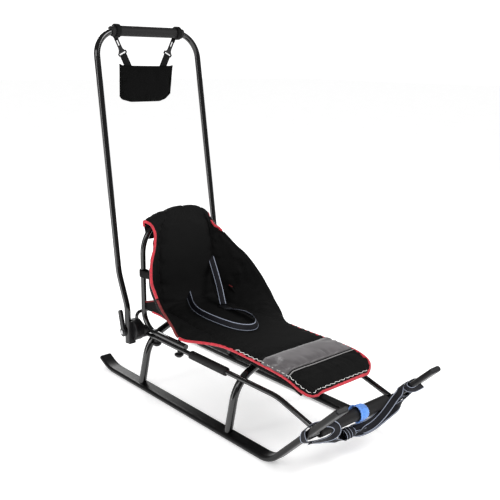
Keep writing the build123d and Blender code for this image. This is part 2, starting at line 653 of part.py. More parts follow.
# Lower flaps that tie the seat to the back frame's uprights, and straps round the uprights
FLAP_REAR_X = BACK_X + BACK_TUBE / 2 + SOFT_GAP
FLAP_Y = WING_BASE_Y + WING_THICK * 1.7
FLAP_OUTLINE = (
    (FLAP_REAR_X, MAT_BOTTOM + 45),
    (FLAP_REAR_X, MAT_BOTTOM + 16),
    (FLAP_REAR_X + 53, MAT_BOTTOM + 1),
    (FLAP_REAR_X + 50, MAT_BOTTOM + 42),
)
tie_inner = BACK_TUBE / 2 + SOFT_GAP
tie_outer = tie_inner + TIE_STRAP_THICK
for side, sign in SIDES.items():
    with BuildPart() as flap:
        with BuildSketch(Plane.XZ.offset(-sign * FLAP_Y)):
            with BuildLine():
                Polyline(*FLAP_OUTLINE, close=True)
            make_face()
        extrude(amount=-sign * FLAP_THICK)
    keep(flap, f"seat_flap_{side}")

    with BuildPart() as tie_strap:
        with BuildSketch(Plane.XY.offset(TIE_STRAP_Z - TIE_STRAP_WIDTH / 2)):
            with Locations((BACK_X, sign * RAIL_Y)):
                Circle(tie_outer)
            with Locations((BACK_X + tie_inner, sign * (RAIL_Y - tie_outer))):
                Rectangle(
                    BACK_PAD_FRONT_X - BACK_X - tie_inner,
                    TIE_STRAP_THICK,
                    align=(Align.MIN, Align.CENTER),
                )
                Rectangle(tie_outer * 2, TIE_STRAP_THICK, align=(Align.MAX, Align.CENTER))
            with Locations((BACK_X, sign * RAIL_Y)):
                Circle(tie_inner, mode=Mode.SUBTRACT)
        extrude(amount=TIE_STRAP_WIDTH)
    keep(tie_strap, f"tie_strap_{side}")

# Harness
MAT_TOP = MAT_BOTTOM + MAT_THICK
with BuildPart() as buckle:
    with BuildSketch(Plane(origin=(BUCKLE_X, BUCKLE_Y, MAT_TOP + SOFT_GAP))):
        RectangleRounded(BUCKLE_LENGTH, BUCKLE_WIDTH, 6)
    extrude(amount=BUCKLE_THICK)
    fillet(buckle.faces().sort_by(Axis.Z)[-1].edges(), radius=2.5)
keep(buckle, "harness_buckle")

strap_from = Vector(BACK_PAD_FRONT_X + SOFT_GAP, SHOULDER_Y_AT_BACK, SHOULDER_Z_AT_BACK)
strap_to = Vector(BUCKLE_X - BUCKLE_LENGTH / 2 - SOFT_GAP, BUCKLE_Y, MAT_TOP + BUCKLE_THICK)
strap_run = strap_to - strap_from
strap_across = Vector(0, 0, 1).cross(strap_run).normalized()
with BuildPart() as shoulder_strap:
    with BuildSketch(Plane(origin=strap_from, x_dir=strap_run, z_dir=strap_across).offset(-WEB_WIDTH / 2)):
        Rectangle(strap_run.length + 8, WEB_THICK, align=(Align.CENTER, Align.MIN))
        Rectangle(strap_run.length + 8, WEB_THICK, align=(Align.MIN, Align.MIN))
    extrude(amount=WEB_WIDTH)
    split(bisect_by=Plane.YZ.offset(strap_from.X), keep=Keep.TOP)
    split(bisect_by=Plane.YZ.offset(strap_to.X), keep=Keep.BOTTOM)
keep(shoulder_strap, "shoulder_strap")

BELT_Z = MAT_TOP + SOFT_GAP + WEB_WIDTH / 2
BELT_ROUTE = (
    # from the near wing round the front and back to the buckle
    (-225.0, -118.0),
    (-165.0, -82.0),
    (-100.0, -66.0),
    (-30.0, -58.0),
    (22.0, -36.0),
    (24.0, 6.0),
    (-20.0, 34.0),
    (-85.0, 50.0),
    (BUCKLE_X + BUCKLE_LENGTH / 2 + SOFT_GAP, BUCKLE_Y),
)
with BuildPart() as belt:
    with BuildLine() as belt_path:
        FilletPolyline(*[(x, y, BELT_Z) for x, y in BELT_ROUTE], radius=BELT_BEND)
    with BuildSketch(start_plane(belt_path.line, across=(0, 0, 1))):
        Rectangle(WEB_WIDTH, WEB_THICK)
    sweep()
keep(belt, "waist_belt")

# Bag, hanging straight down from the grip
BAG_X = HANDLE_TOP_X - BAG_REARWARD
BAG_TOP_Z = HANDLE_TOP_Z - BAG_DROP
BAG_FOOT_Z = BAG_TOP_Z - BAG_DEPTH
with BuildPart() as bag:
    with BuildSketch(Plane.YZ.offset(BAG_X - BAG_THICK / 2)):
        with BuildLine():
            Polyline(
                (-BAG_HALF, BAG_TOP_Z),
                (-BAG_FOOT_HALF, BAG_FOOT_Z + BAG_CORNER_RISE),
                (-BAG_FOOT_HALF + BAG_CORNER, BAG_FOOT_Z),
                (BAG_FOOT_HALF - BAG_CORNER, BAG_FOOT_Z),
                (BAG_FOOT_HALF, BAG_FOOT_Z + BAG_CORNER_RISE),
                (BAG_HALF, BAG_TOP_Z),
                close=True,
            )
        make_face()
    extrude(amount=BAG_THICK)
    fillet(bag.edges().filter_by(Axis.Y), radius=BAG_THICK * 0.3)
keep(bag, "bag")

COLLAR_INNER = GRIP_TUBE / 2 + 0.5
COLLAR_OUTER = COLLAR_INNER + COLLAR_WALL
HANG_X = BAG_X - (BAG_THICK - STRAP_THICK) / 2
HANG_FOOT = BAG_TOP_Z + SOFT_GAP
HANG_TOP = HANDLE_TOP_Z - math.sqrt(COLLAR_INNER ** 2 - (HANG_X - HANDLE_TOP_X) ** 2)
hang_length = math.hypot(HOOK_TOP_Y - STRAP_FOOT_Y, HANG_TOP - HANG_FOOT)
hang_y = (HOOK_TOP_Y - STRAP_FOOT_Y) / hang_length
hang_z = (HANG_TOP - HANG_FOOT) / hang_length
for side, sign in SIDES.items():
    hang_plane = Plane(
        origin=(HANG_X, sign * STRAP_FOOT_Y, HANG_FOOT),
        x_dir=(0, hang_z, -sign * hang_y),
        z_dir=(1, 0, 0),
    )
    with BuildPart() as bag_strap:
        with BuildSketch(hang_plane.offset(-STRAP_THICK / 2)):
            Rectangle(STRAP_WIDTH, STRAP_LENGTH * 2)
        extrude(amount=STRAP_THICK)
        split(bisect_by=Plane.XY.offset(HANG_FOOT), keep=Keep.TOP)
    keep(bag_strap, f"bag_strap_{side}")

    loop_low = STRAP_LENGTH + SEAT_GAP
    shank_low = loop_low + LOOP_DEPTH - LOOP_BAR
    shank_high = hang_length + COLLAR_WALL
    with BuildPart() as hook:
        with BuildSketch(hang_plane.offset(-HOOK_THICK / 2)):
            with Locations((0, loop_low + LOOP_DEPTH / 2)):
                Rectangle(STRAP_WIDTH + 2 * LOOP_BAR, LOOP_DEPTH)
                Rectangle(STRAP_WIDTH, LOOP_DEPTH - 2 * LOOP_BAR, mode=Mode.SUBTRACT)
            with Locations((0, (shank_low + shank_high) / 2)):
                SlotOverall(shank_high - shank_low, HOOK_WIDTH, rotation=90)
                SlotOverall(
                    shank_high - shank_low - 2 * HOOK_BAR, HOOK_WIDTH - 2 * HOOK_BAR, rotation=90, mode=Mode.SUBTRACT
                )
        extrude(amount=HOOK_THICK)
        with BuildSketch(grip_plane.offset(-sign * HOOK_TOP_Y)):
            Circle(COLLAR_OUTER)
        extrude(amount=COLLAR_WIDTH / 2, both=True)
        with BuildSketch(grip_plane.offset(-sign * HOOK_TOP_Y)):
            Circle(COLLAR_INNER)
        extrude(amount=COLLAR_WIDTH * 2, both=True, mode=Mode.SUBTRACT)
    keep(hook, f"bag_hook_{side}")

# Tow strap: a bundle at the right toe, a span, and a fan of turns at the left toe
bundle_start = Vector(TOW_ROUTE[0])
bundle_plane = Plane(origin=(bundle_start.X, bundle_start.Y, bundle_start.Z), x_dir=(1, 0, 0), z_dir=(0, -1, 0))
with BuildPart() as near_hank:
    with BuildSketch(toe_plane(-1, TOW_NEAR_START)):
        SlotOverall(RUNNER_WIDTH + 2 * TOW_WRAP, RUNNER_THICK + 2 * TOW_WRAP)
    extrude(amount=TOW_NEAR_LENGTH)
    with BuildSketch(bundle_plane):
        Ellipse(TOW_BUNDLE_WIDTH / 2, TOW_BUNDLE_HEIGHT / 2)
    extrude(amount=bundle_start.Y + HALF_TRACK)
    with BuildSketch(toe_plane(-1, 0)):
        SlotOverall(RUNNER_WIDTH + 2 * SOFT_GAP, RUNNER_THICK + 2 * SOFT_GAP)
    extrude(amount=TOE_LENGTH, mode=Mode.SUBTRACT)
keep(near_hank, "tow_strap_bundle")

tow_radii = []
for before, corner, after in zip(TOW_ROUTE, TOW_ROUTE[1:], TOW_ROUTE[2:]):
    arriving = Vector(corner) - Vector(before)
    leaving = Vector(after) - Vector(corner)
    half_turn = math.radians(arriving.get_angle(leaving) / 2)
    tow_radii.append(0.45 * min(arriving.length, leaving.length) / math.tan(half_turn))
print("tow strap radii", [round(r) for r in tow_radii])
with BuildPart() as tow_span:
    with BuildLine() as tow_path:
        FilletPolyline(*TOW_ROUTE, radius=tow_radii)
    with BuildSketch(start_plane(tow_path.line, across=(1, 0, 0))):
        Circle(TOW_WIDTH / 2)
    sweep()
keep(tow_span, "tow_strap_span")

fan_along = TOW_FAR_START + TOW_FAR_LENGTH / 2
fan_offset = RUNNER_THICK / 2 + TOW_WRAP / 2
fan_centre = (
    TOE_CORNER_X + fan_along * toe_cos + fan_offset * toe_sin,
    HALF_TRACK - RUNNER_WIDTH / 2 - TOW_WRAP / 2,
    RUNNER_Z + fan_along * toe_sin - fan_offset * toe_cos,
)
with BuildPart() as far_hank:
    with BuildSketch(toe_plane(1, TOW_FAR_START)):
        SlotOverall(RUNNER_WIDTH + 2 * TOW_WRAP, RUNNER_THICK + 2 * TOW_WRAP)
    extrude(amount=TOW_FAR_LENGTH)
    with BuildSketch(Plane(origin=tow_path.line @ 1, x_dir=(toe_cos, 0, toe_sin), z_dir=tow_path.line % 1)):
        Rectangle(TOW_WIDTH, TOW_FAN_THICK)
    with BuildSketch(Plane(origin=fan_centre, x_dir=(toe_cos, 0, toe_sin), z_dir=(0, 1, 0))):
        Rectangle(TOW_FAR_LENGTH * 0.9, TOW_FAN_THICK)
    loft(ruled=True)
    with BuildSketch(toe_plane(1, 0)):
        SlotOverall(RUNNER_WIDTH + 2 * SOFT_GAP, RUNNER_THICK + 2 * SOFT_GAP)
    extrude(amount=TOE_LENGTH, mode=Mode.SUBTRACT)
keep(far_hank, "tow_strap_fan")
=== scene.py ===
import math

import bmesh
import bpy
from mathutils import Matrix, Vector, noise


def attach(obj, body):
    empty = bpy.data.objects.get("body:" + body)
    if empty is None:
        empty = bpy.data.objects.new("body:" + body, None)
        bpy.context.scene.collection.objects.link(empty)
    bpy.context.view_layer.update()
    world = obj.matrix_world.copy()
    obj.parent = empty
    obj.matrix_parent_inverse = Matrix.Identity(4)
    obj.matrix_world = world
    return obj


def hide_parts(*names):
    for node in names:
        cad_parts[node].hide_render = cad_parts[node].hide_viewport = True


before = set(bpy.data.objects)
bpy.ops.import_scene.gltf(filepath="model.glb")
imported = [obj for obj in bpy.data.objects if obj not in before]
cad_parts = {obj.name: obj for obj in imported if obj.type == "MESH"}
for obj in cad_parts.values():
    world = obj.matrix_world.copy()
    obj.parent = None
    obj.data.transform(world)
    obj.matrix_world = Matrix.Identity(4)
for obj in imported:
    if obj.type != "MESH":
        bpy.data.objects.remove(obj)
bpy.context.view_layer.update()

MM = 0.001
SIDES = (("left", 1), ("right", -1))
scene = bpy.context.scene


def put(obj):
    """Links an object to the scene."""
    scene.collection.objects.link(obj)
    return obj


def piece(obj, body, material, replaces=()):
    """Rides a finished piece on a body and gives it its material."""
    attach(obj, body)
    obj.data.materials.clear()
    obj.data.materials.append(material)
    if replaces:
        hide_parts(*replaces)


def clamp(share):
    """A share kept between 0 and 1."""
    return max(0, min(1, share))


def between(table, place):
    """The vector at a place in a table of vectors, counted in rows from 0."""
    low = min(int(place), len(table) - 2)
    return Vector(table[low]).lerp(Vector(table[low + 1]), place - low)


def part_way(table, share):
    """The vector this share of the way down a table of vectors."""
    return between(table, share * (len(table) - 1))


# Camera
AZIMUTH, PITCH, ROLL = math.radians(48.22), math.radians(14.31), math.radians(0.84)
CAMERA_PLACE = (1.4618, -1.3101, 0.9524)
FRAME_PIXELS, FOCAL_PIXELS, SENSOR = 500, 743.8, 36
right = Vector((math.cos(AZIMUTH), math.sin(AZIMUTH), 0))
ahead = Vector((
    -math.sin(AZIMUTH) * math.cos(PITCH),
    math.cos(AZIMUTH) * math.cos(PITCH),
    -math.sin(PITCH),
))
above = right.cross(ahead)
cam_x = math.cos(ROLL) * right + math.sin(ROLL) * above
cam_y = -math.sin(ROLL) * right + math.cos(ROLL) * above
camera_data = bpy.data.cameras.new("camera")
camera_data.lens = FOCAL_PIXELS / FRAME_PIXELS * SENSOR
camera_data.sensor_width = SENSOR
camera = put(bpy.data.objects.new("camera", camera_data))
turned = Matrix((cam_x, cam_y, -ahead)).transposed().to_4x4()
camera.matrix_world = Matrix.Translation(CAMERA_PLACE) @ turned
scene.camera = camera


# Materials
BUMP_DEPTH, THREAD_DEPTH = 0.0006, 0.0004
# A wave texture of scale 1 turns this many radians in a metre
WAVE_TURN = 20


def linear(*rgb):
    """An sRGB colour of 0 to 255 as linear values."""
    return tuple((c / 255 / 12.92) if c < 10.3 else ((c / 255 + 0.055) / 1.055) ** 2.4 for c in rgb)


def material(name, rgb, roughness, scale, bump, dark=0.75, light=1.25, rough_spread=0.08, **sockets):
    """A surface whose colour, gloss and bump vary with noise of this scale, per metre."""
    mat = bpy.data.materials.new(name)
    mat.use_nodes = True
    nodes, links = mat.node_tree.nodes, mat.node_tree.links
    shader = nodes["Principled BSDF"]
    place = nodes.new("ShaderNodeTexCoord")
    grain = nodes.new("ShaderNodeTexNoise")
    grain.inputs["Scale"].default_value = scale
    grain.inputs["Detail"].default_value = 6
    links.new(place.outputs["Object"], grain.inputs["Vector"])
    tint = nodes.new("ShaderNodeValToRGB")
    base = linear(*rgb)
    tint.color_ramp.elements[0].position, tint.color_ramp.elements[1].position = 0.3, 0.7
    tint.color_ramp.elements[0].color = (*[c * dark for c in base], 1)
    tint.color_ramp.elements[1].color = (*[c * light for c in base], 1)
    links.new(grain.outputs["Fac"], tint.inputs["Fac"])
    links.new(tint.outputs["Color"], shader.inputs["Base Color"])
    gloss = nodes.new("ShaderNodeMapRange")
    gloss.inputs["To Min"].default_value = roughness - rough_spread
    gloss.inputs["To Max"].default_value = roughness + rough_spread
    links.new(grain.outputs["Fac"], gloss.inputs["Value"])
    links.new(gloss.outputs["Result"], shader.inputs["Roughness"])
    relief = nodes.new("ShaderNodeBump")
    relief.inputs["Strength"].default_value = bump
    relief.inputs["Distance"].default_value = BUMP_DEPTH
    links.new(grain.outputs["Fac"], relief.inputs["Height"])
    links.new(relief.outputs["Normal"], shader.inputs["Normal"])
    for socket, value in sockets.items():
        shader.inputs[socket.replace("_", " ")].default_value = value
    return mat


def woven(mat, rate, strength):
    """Adds crossed threads to a material's bump, one every 2 pi / rate metres."""
    nodes, links = mat.node_tree.nodes, mat.node_tree.links
    place = nodes["Texture Coordinate"]
    relief = nodes["Bump"]
    height = None
    for axis in ("X", "Y", "Z"):
        wave = nodes.new("ShaderNodeTexWave")
        wave.bands_direction = axis
        wave.inputs["Scale"].default_value = rate / WAVE_TURN
        wave.inputs["Distortion"].default_value = 0.6
        links.new(place.outputs["Object"], wave.inputs["Vector"])
        if height is None:
            height = wave.outputs["Fac"]
            continue
        both = nodes.new("ShaderNodeMath")
        both.operation = "MULTIPLY"
        links.new(height, both.inputs[0])
        links.new(wave.outputs["Fac"], both.inputs[1])
        height = both.outputs["Value"]
    weave = nodes.new("ShaderNodeBump")
    weave.inputs["Strength"].default_value = strength
    weave.inputs["Distance"].default_value = THREAD_DEPTH
    links.new(height, weave.inputs["Height"])
    links.new(relief.outputs["Normal"], weave.inputs["Normal"])
    links.new(weave.outputs["Normal"], nodes["Principled BSDF"].inputs["Normal"])
    return mat


def banded(mat, lines, rgb):
    """Adds light lines that run along a strap, at these shares of its width."""
    nodes, links = mat.node_tree.nodes, mat.node_tree.links
    shader = nodes["Principled BSDF"]
    uv = nodes.new("ShaderNodeUVMap")
    split = nodes.new("ShaderNodeSeparateXYZ")
    links.new(uv.outputs["UV"], split.inputs["Vector"])
    ramp = nodes.new("ShaderNodeValToRGB")
    ramp.color_ramp.interpolation = "CONSTANT"
    ramp.color_ramp.elements[0].color = (0, 0, 0, 1)
    ramp.color_ramp.elements[1].position = 1.0
    ramp.color_ramp.elements[1].color = (0, 0, 0, 1)
    for start, end in lines:
        ramp.color_ramp.elements.new(start).color = (1, 1, 1, 1)
        ramp.color_ramp.elements.new(end).color = (0, 0, 0, 1)
    links.new(split.outputs["X"], ramp.inputs["Fac"])
    mix = nodes.new("ShaderNodeMix")
    mix.data_type = "RGBA"
    mix.inputs["B"].default_value = (*linear(*rgb), 1)
    links.new(ramp.outputs["Color"], mix.inputs["Factor"])
    before = shader.inputs["Base Color"].links[0].from_socket
    links.new(before, mix.inputs["A"])
    links.new(mix.outputs["Result"], shader.inputs["Base Color"])
    return mat


PAINT = material(
    "black_paint", (9, 9, 10), 0.12, 60, 0.03, rough_spread=0.03, Coat_Weight=0.6, Coat_Roughness=0.05
)
RUNNER_PAINT = material(
    "runner_paint", (9, 9, 10), 0.34, 70, 0.05, rough_spread=0.05, Specular_IOR_Level=0.3
)
PLASTIC = material("black_plastic", (18, 18, 20), 0.42, 900, 0.25, Specular_IOR_Level=0.4)
STEEL = material("zinc_steel", (190, 190, 192), 0.28, 300, 0.1, Metallic=1.0)
FOAM = material("foam", (20, 19, 20), 0.65, 1400, 0.5, Specular_IOR_Level=0.35)
FABRIC = woven(material("seat_fabric", (9, 9, 9), 0.8, 40, 0.15, Specular_IOR_Level=0.2), 900, 0.3)
BAG_FABRIC = woven(material("bag_fabric", (5, 5, 5), 0.85, 60, 0.2, Specular_IOR_Level=0.12), 1100, 0.3)
SATIN = material("satin", (84, 80, 82), 0.4, 25, 0.1, dark=0.8, light=1.2, Sheen_Weight=0.3)
RED = woven(material("red_binding", (190, 26, 46), 0.6, 120, 0.2, Sheen_Weight=0.2), 1400, 0.3)
# A darker copy of the red binding, for binding and flap edge in shade: painted shade
SHADED_RED = woven(material("painted_shade_red", (112, 22, 24), 0.7, 120, 0.2), 1400, 0.3)
THREAD = material("white_thread", (225, 225, 222), 0.6, 800, 0.3)
PIPING = material("grey_piping", (140, 138, 138), 0.45, 500, 0.2)
BLUE = woven(material("blue_band", (78, 140, 226), 0.62, 90, 0.25, dark=0.7, Sheen_Weight=0.4), 900, 0.5)
WEBBING = banded(
    woven(material("webbing", (14, 15, 24), 0.65, 300, 0.3, Specular_IOR_Level=0.3), 1500, 0.5),
    ((0.05, 0.13), (0.87, 0.95)),
    (158, 165, 182),
)
PLAIN_WEBBING = woven(
    material("plain_webbing", (9, 9, 10), 0.75, 300, 0.3, Specular_IOR_Level=0.2), 1500, 0.5
)

# Each node takes the material of the first of these that its name starts with
NODE_MATERIALS = (
    ("runner", RUNNER_PAINT), ("leg_arch", PAINT), ("rail_sleeve", FOAM), ("rail", PAINT),
    ("front_cross", PAINT), ("back_frame", PAINT), ("rear_tie", PAINT), ("push_handle", PAINT),
    ("seat_base", PAINT), ("toe_cap", PLASTIC), ("heel_cap", PLASTIC), ("hinge_pin", STEEL),
    ("hinge", PLASTIC), ("knob", PLASTIC), ("harness_buckle", PLASTIC), ("bag_hook", PLASTIC),
    ("foot_rest_foam", FOAM), ("handle_grip", FOAM), ("foot_rest_band", BLUE), ("seat", FABRIC),
    ("bag", BAG_FABRIC), ("shoulder", WEBBING), ("waist", WEBBING), ("tie_strap", PLAIN_WEBBING),
    ("tow_strap", WEBBING),
)
for name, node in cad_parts.items():
    surface = next(m for start, m in NODE_MATERIALS if name.startswith(start))
    node.data.materials.clear()
    node.data.materials.append(surface)


# Mesh makers, for lines and points in metres
SPLINE_STEPS, STRAP_STEP, TUBE_SIDES = 12, 0.004, 10
# A strap's section: each corner's place across its width and out of its face, as shares of these
STRAP_SECTION = (
    (-0.5, 0.0), (-0.47, 0.5), (-0.17, 0.62), (0.17, 0.62),
    (0.47, 0.5), (0.5, 0.0), (0.17, -0.5), (-0.17, -0.5),
)


def mesh_object(name, points, faces, uvs=None):
    """A smooth mesh object from points in metres."""
    data = bpy.data.meshes.new(name)
    data.from_pydata([tuple(p) for p in points], [], faces)
    if uvs is not None:
        layer = data.uv_layers.new(name="UVMap")
        for loop in data.loops:
            layer.data[loop.index].uv = uvs[loop.vertex_index]
    data.shade_smooth()
    return put(bpy.data.objects.new(name, data))


def spline_points(points):
    """Points along the NURBS line that these control points give."""
    curve = bpy.data.curves.new("route", "CURVE")
    curve.dimensions = "3D"
    curve.resolution_u = SPLINE_STEPS
    spline = curve.splines.new("NURBS")
    spline.points.add(len(points) - 1)
    for control, p in zip(spline.points, points):
        control.co = (*p, 1)
    spline.order_u = 3
    spline.use_endpoint_u = True
    holder = bpy.data.objects.new("route", curve)
    flat = bpy.data.meshes.new_from_object(holder)
    line = [v.co.copy() for v in flat.vertices]
    bpy.data.objects.remove(holder)
    bpy.data.meshes.remove(flat)
    return line


def resample(points, step, hints=None):
    """The same line with points this far apart, and with hints also the hint at each point."""
    share = (len(hints) - 1) / (len(points) - 1) if hints else 0
    line, turned_hints = [points[0].copy()], []
    left = step
    if hints:
        turned_hints.append(between(hints, 0))
    for i, (a, b) in enumerate(zip(points, points[1:])):
        length = (b - a).length
        while length > 0 and left <= length:
            a = a + (b - a) * (left / length)
            line.append(a.copy())
            if hints:
                turned_hints.append(between(hints, i * share))
            length = (b - a).length
            left = step
        left -= length
    line.append(points[-1].copy())
    if hints:
        turned_hints.append(between(hints, len(hints) - 1))
        return line, turned_hints
    return line


def tangent_at(line, i):
    """The way a line runs at one of its points."""
    return (line[min(i + 1, len(line) - 1)] - line[max(i - 1, 0)]).normalized()


def ring_faces(rings, sides):
    """The faces of a skin over rings of points, with a flat cap at each end."""
    faces = []
    for i in range(rings - 1):
        for j in range(sides):
            k = (j + 1) % sides
            faces.append((i * sides + j, i * sides + k, (i + 1) * sides + k, (i + 1) * sides + j))
    faces.append(tuple(reversed(range(sides))))
    faces.append(tuple((rings - 1) * sides + j for j in range(sides)))
    return faces


def ribbon(name, line, hints, width, thick):
    """A flat strap along a line, with its face turned to the hint at each point."""
    points, uvs = [], []
    run = 0.0
    last_face = None
    for i, p in enumerate(line):
        tangent = tangent_at(line, i)
        hint = hints[i].normalized()
        face = (hint - tangent * hint.dot(tangent)).normalized()
        if last_face is not None:
            face = last_face.lerp(face, 0.5)
            face = (face - tangent * face.dot(tangent)).normalized()
        last_face = face
        side = tangent.cross(face)
        run += (p - line[max(i - 1, 0)]).length
        for across, proud in STRAP_SECTION:
            points.append(p + side * (across * width) + face * (proud * thick))
            uvs.append((across + 0.5, run / width))
    return mesh_object(name, points, ring_faces(len(line), len(STRAP_SECTION)), uvs)


def strap(name, route, width, thick):
    """A ribbon through control points in millimetres, each with the way its face turns, and its line."""
    line = spline_points([Vector(p) * MM for p, _ in route])
    line, hints = resample(line, STRAP_STEP, [h for _, h in route])
    return ribbon(name, line, hints, width, thick), line


def tube(name, line, radius, flat=1.0):
    """A tube along a line, squashed to an oval by flat."""
    points = []
    up = Vector((0.13, 0.31, 0.94))
    for i, p in enumerate(line):
        tangent = tangent_at(line, i)
        side = tangent.cross(up).normalized()
        up = side.cross(tangent)
        for j in range(TUBE_SIDES):
            turn = 2 * math.pi * j / TUBE_SIDES
            points.append(p + side * (math.cos(turn) * radius) + up * (math.sin(turn) * radius * flat))
    return mesh_object(name, points, ring_faces(len(line), TUBE_SIDES))


# Tow strap: one flat strap, from the left toe's turns over the span to the knot and the right toe
WEB_WIDTH, WEB_THICK = 0.02, 0.0022
TOE_SLOPE = math.radians(45)
TOE_CORNER = Vector((285, 0, 7.5))
TOE_ALONG = Vector((math.cos(TOE_SLOPE), 0, math.sin(TOE_SLOPE)))
TOE_OUT = Vector((math.sin(TOE_SLOPE), 0, -math.cos(TOE_SLOPE)))
HALF_TRACK = 172.5
REAR_FACE = (-0.7, 0, 0.7)
TO_CAMERA = (0.53, -0.75, 0.4)


def on_toe(sign, along, across, out):
    """A point along a runner's toe, across it and out of its front face, in millimetres."""
    return TOE_CORNER + TOE_ALONG * along + TOE_OUT * out + Vector((0, sign * HALF_TRACK + across, 0))


route = [
    # tail and first turn round the left toe
    (on_toe(1, 233, 4, 12), (0.6, -0.6, -0.2)),
    (on_toe(1, 224, 0, 12.5), (0.6, -0.6, -0.3)),
    (on_toe(1, 215, -12, 12.5), (0.6, -0.6, -0.4)),
    (on_toe(1, 209, -23, 5), (0.2, -1, 0)),
    (on_toe(1, 205, -24, -6), (-0.2, -1, 0.2)),
    (on_toe(1, 206, -10, -12.5), REAR_FACE),
    (on_toe(1, 209, 10, -12.5), REAR_FACE),
    (on_toe(1, 205, 23, -7), (-0.2, 1, 0.3)),
    (on_toe(1, 191, 25, 0), (0, 1, 0)),
    ((409.6, 196, 126.5), (0.3, 1, -0.3)),
    (on_toe(1, 171, 13, 12), (0.7, 0.2, -0.7)),
    ((408, 166, 114), (0.8, -0.4, -0.3)),
    ((399, 142, 104.5), TO_CAMERA),
    ((396.5, 116, 96), TO_CAMERA),
    ((399, 88, 88), TO_CAMERA),
    ((400, 56, 80), TO_CAMERA),
    ((396, 24, 76), TO_CAMERA),
    # turned back at the knot
    ((390, -4, 77), (0.2, -0.6, 0.8)),
    ((386, -12, 70), (-0.2, -1, 0)),
    ((390, -6, 62), (0.3, -0.6, -0.7)),
    ((401, 24, 66), TO_CAMERA),
    ((408, 56, 74), TO_CAMERA),
    ((411, 88, 92), TO_CAMERA),
    ((411, 114, 110), TO_CAMERA),
    ((409, 138, 125), TO_CAMERA),
    (on_toe(1, 182, -27, 1), (0.1, -1, 0.3)),
    (on_toe(1, 191, -24, -8), (-0.4, -0.8, 0.4)),
    (on_toe(1, 191, -8, -14.5), REAR_FACE),
    (on_toe(1, 186, 12, -14.5), REAR_FACE),
    (on_toe(1, 174, 27, -7), (-0.1, 1, 0.2)),
    (on_toe(1, 159, 27, 4), (0.2, 0.9, -0.3)),
    (on_toe(1, 150, 14, 14.5), (0.7, 0.1, -0.6)),
    ((409, 166, 102), (0.8, -0.5, -0.1)),
    ((413, 140, 97), TO_CAMERA),
    ((414, 110, 90), TO_CAMERA),
    ((412, 82, 81), TO_CAMERA),
    # span under the foot rest
    ((406, 56, 68), TO_CAMERA),
    ((398, 26, 60), TO_CAMERA),
    ((392, 2, 62), (0.5, -0.6, -0.3)),
]
KNOT_TURNS, KNOT_STEPS, KNOT_PITCH = 3, 14, 9.5
KNOT_X, KNOT_Y, KNOT_Z = 393, -13, 73
KNOT_RADIUS, KNOT_UNEVEN, KNOT_LEAN = 11.5, 0.9, 0.24
for step in range(KNOT_TURNS * KNOT_STEPS + 1):
    turn = 2 * math.pi * step / KNOT_STEPS
    radial = Vector((math.sin(turn), 0, -math.cos(turn)))
    radius = KNOT_RADIUS + KNOT_UNEVEN * math.sin(step * 0.9)
    place = Vector((KNOT_X, KNOT_Y - KNOT_PITCH * step / KNOT_STEPS, KNOT_Z)) + radial * radius
    route.append((place, radial + Vector((0, KNOT_LEAN, 0))))
route += [
    # under the cross tube, round the right toe, back over it and down into its own turns
    ((393, -58, 63), (0.6, -0.6, -0.4)),
    ((390, -78, 70), (0.6, -0.65, -0.3)),
    ((389.5, -100, 77.5), (0.6, -0.65, -0.25)),
    ((390, -125, 84), (0.6, -0.65, -0.25)),
    ((391.5, -145, 91), (0.6, -0.6, -0.35)),
    (on_toe(-1, 142, 10, 13.5), (0.6, -0.5, -0.5)),
    (on_toe(-1, 150, -6, 12.5), (0.6, -0.6, -0.5)),
    (on_toe(-1, 159, -19, 10), (0.5, -0.8, -0.3)),
    (on_toe(-1, 168, -23.5, 2), (0.1, -1, 0)),
    (on_toe(-1, 177, -23, -7), (-0.4, -0.8, 0.3)),
    (on_toe(-1, 182, -14, -12.5), REAR_FACE),
    (on_toe(-1, 182, 4, -13), REAR_FACE),
    ((401, -150, 141), (-0.1, -0.1, 1)),
    ((404, -128, 135), (0.3, -0.4, 0.8)),
    ((408, -106, 130.5), (0.4, -0.5, 0.7)),
    ((412, -92, 123), (0.7, -0.6, 0.3)),
    ((412.5, -85, 109), (0.75, -0.6, 0.1)),
    ((407, -86, 95), (0.7, -0.65, -0.1)),
    ((400.5, -98, 88), (0.65, -0.65, -0.2)),
    ((398, -125, 90), (0.6, -0.65, -0.3)),
    ((397, -149, 95), (0.6, -0.6, -0.4)),
    (on_toe(-1, 143, 8, 17), (0.6, -0.4, -0.6)),
]
tow, tow_line = strap("tow_strap", route, WEB_WIDTH, WEB_THICK)
piece(tow, "frame", WEBBING, ("tow_strap_bundle", "tow_strap_span", "tow_strap_fan"))

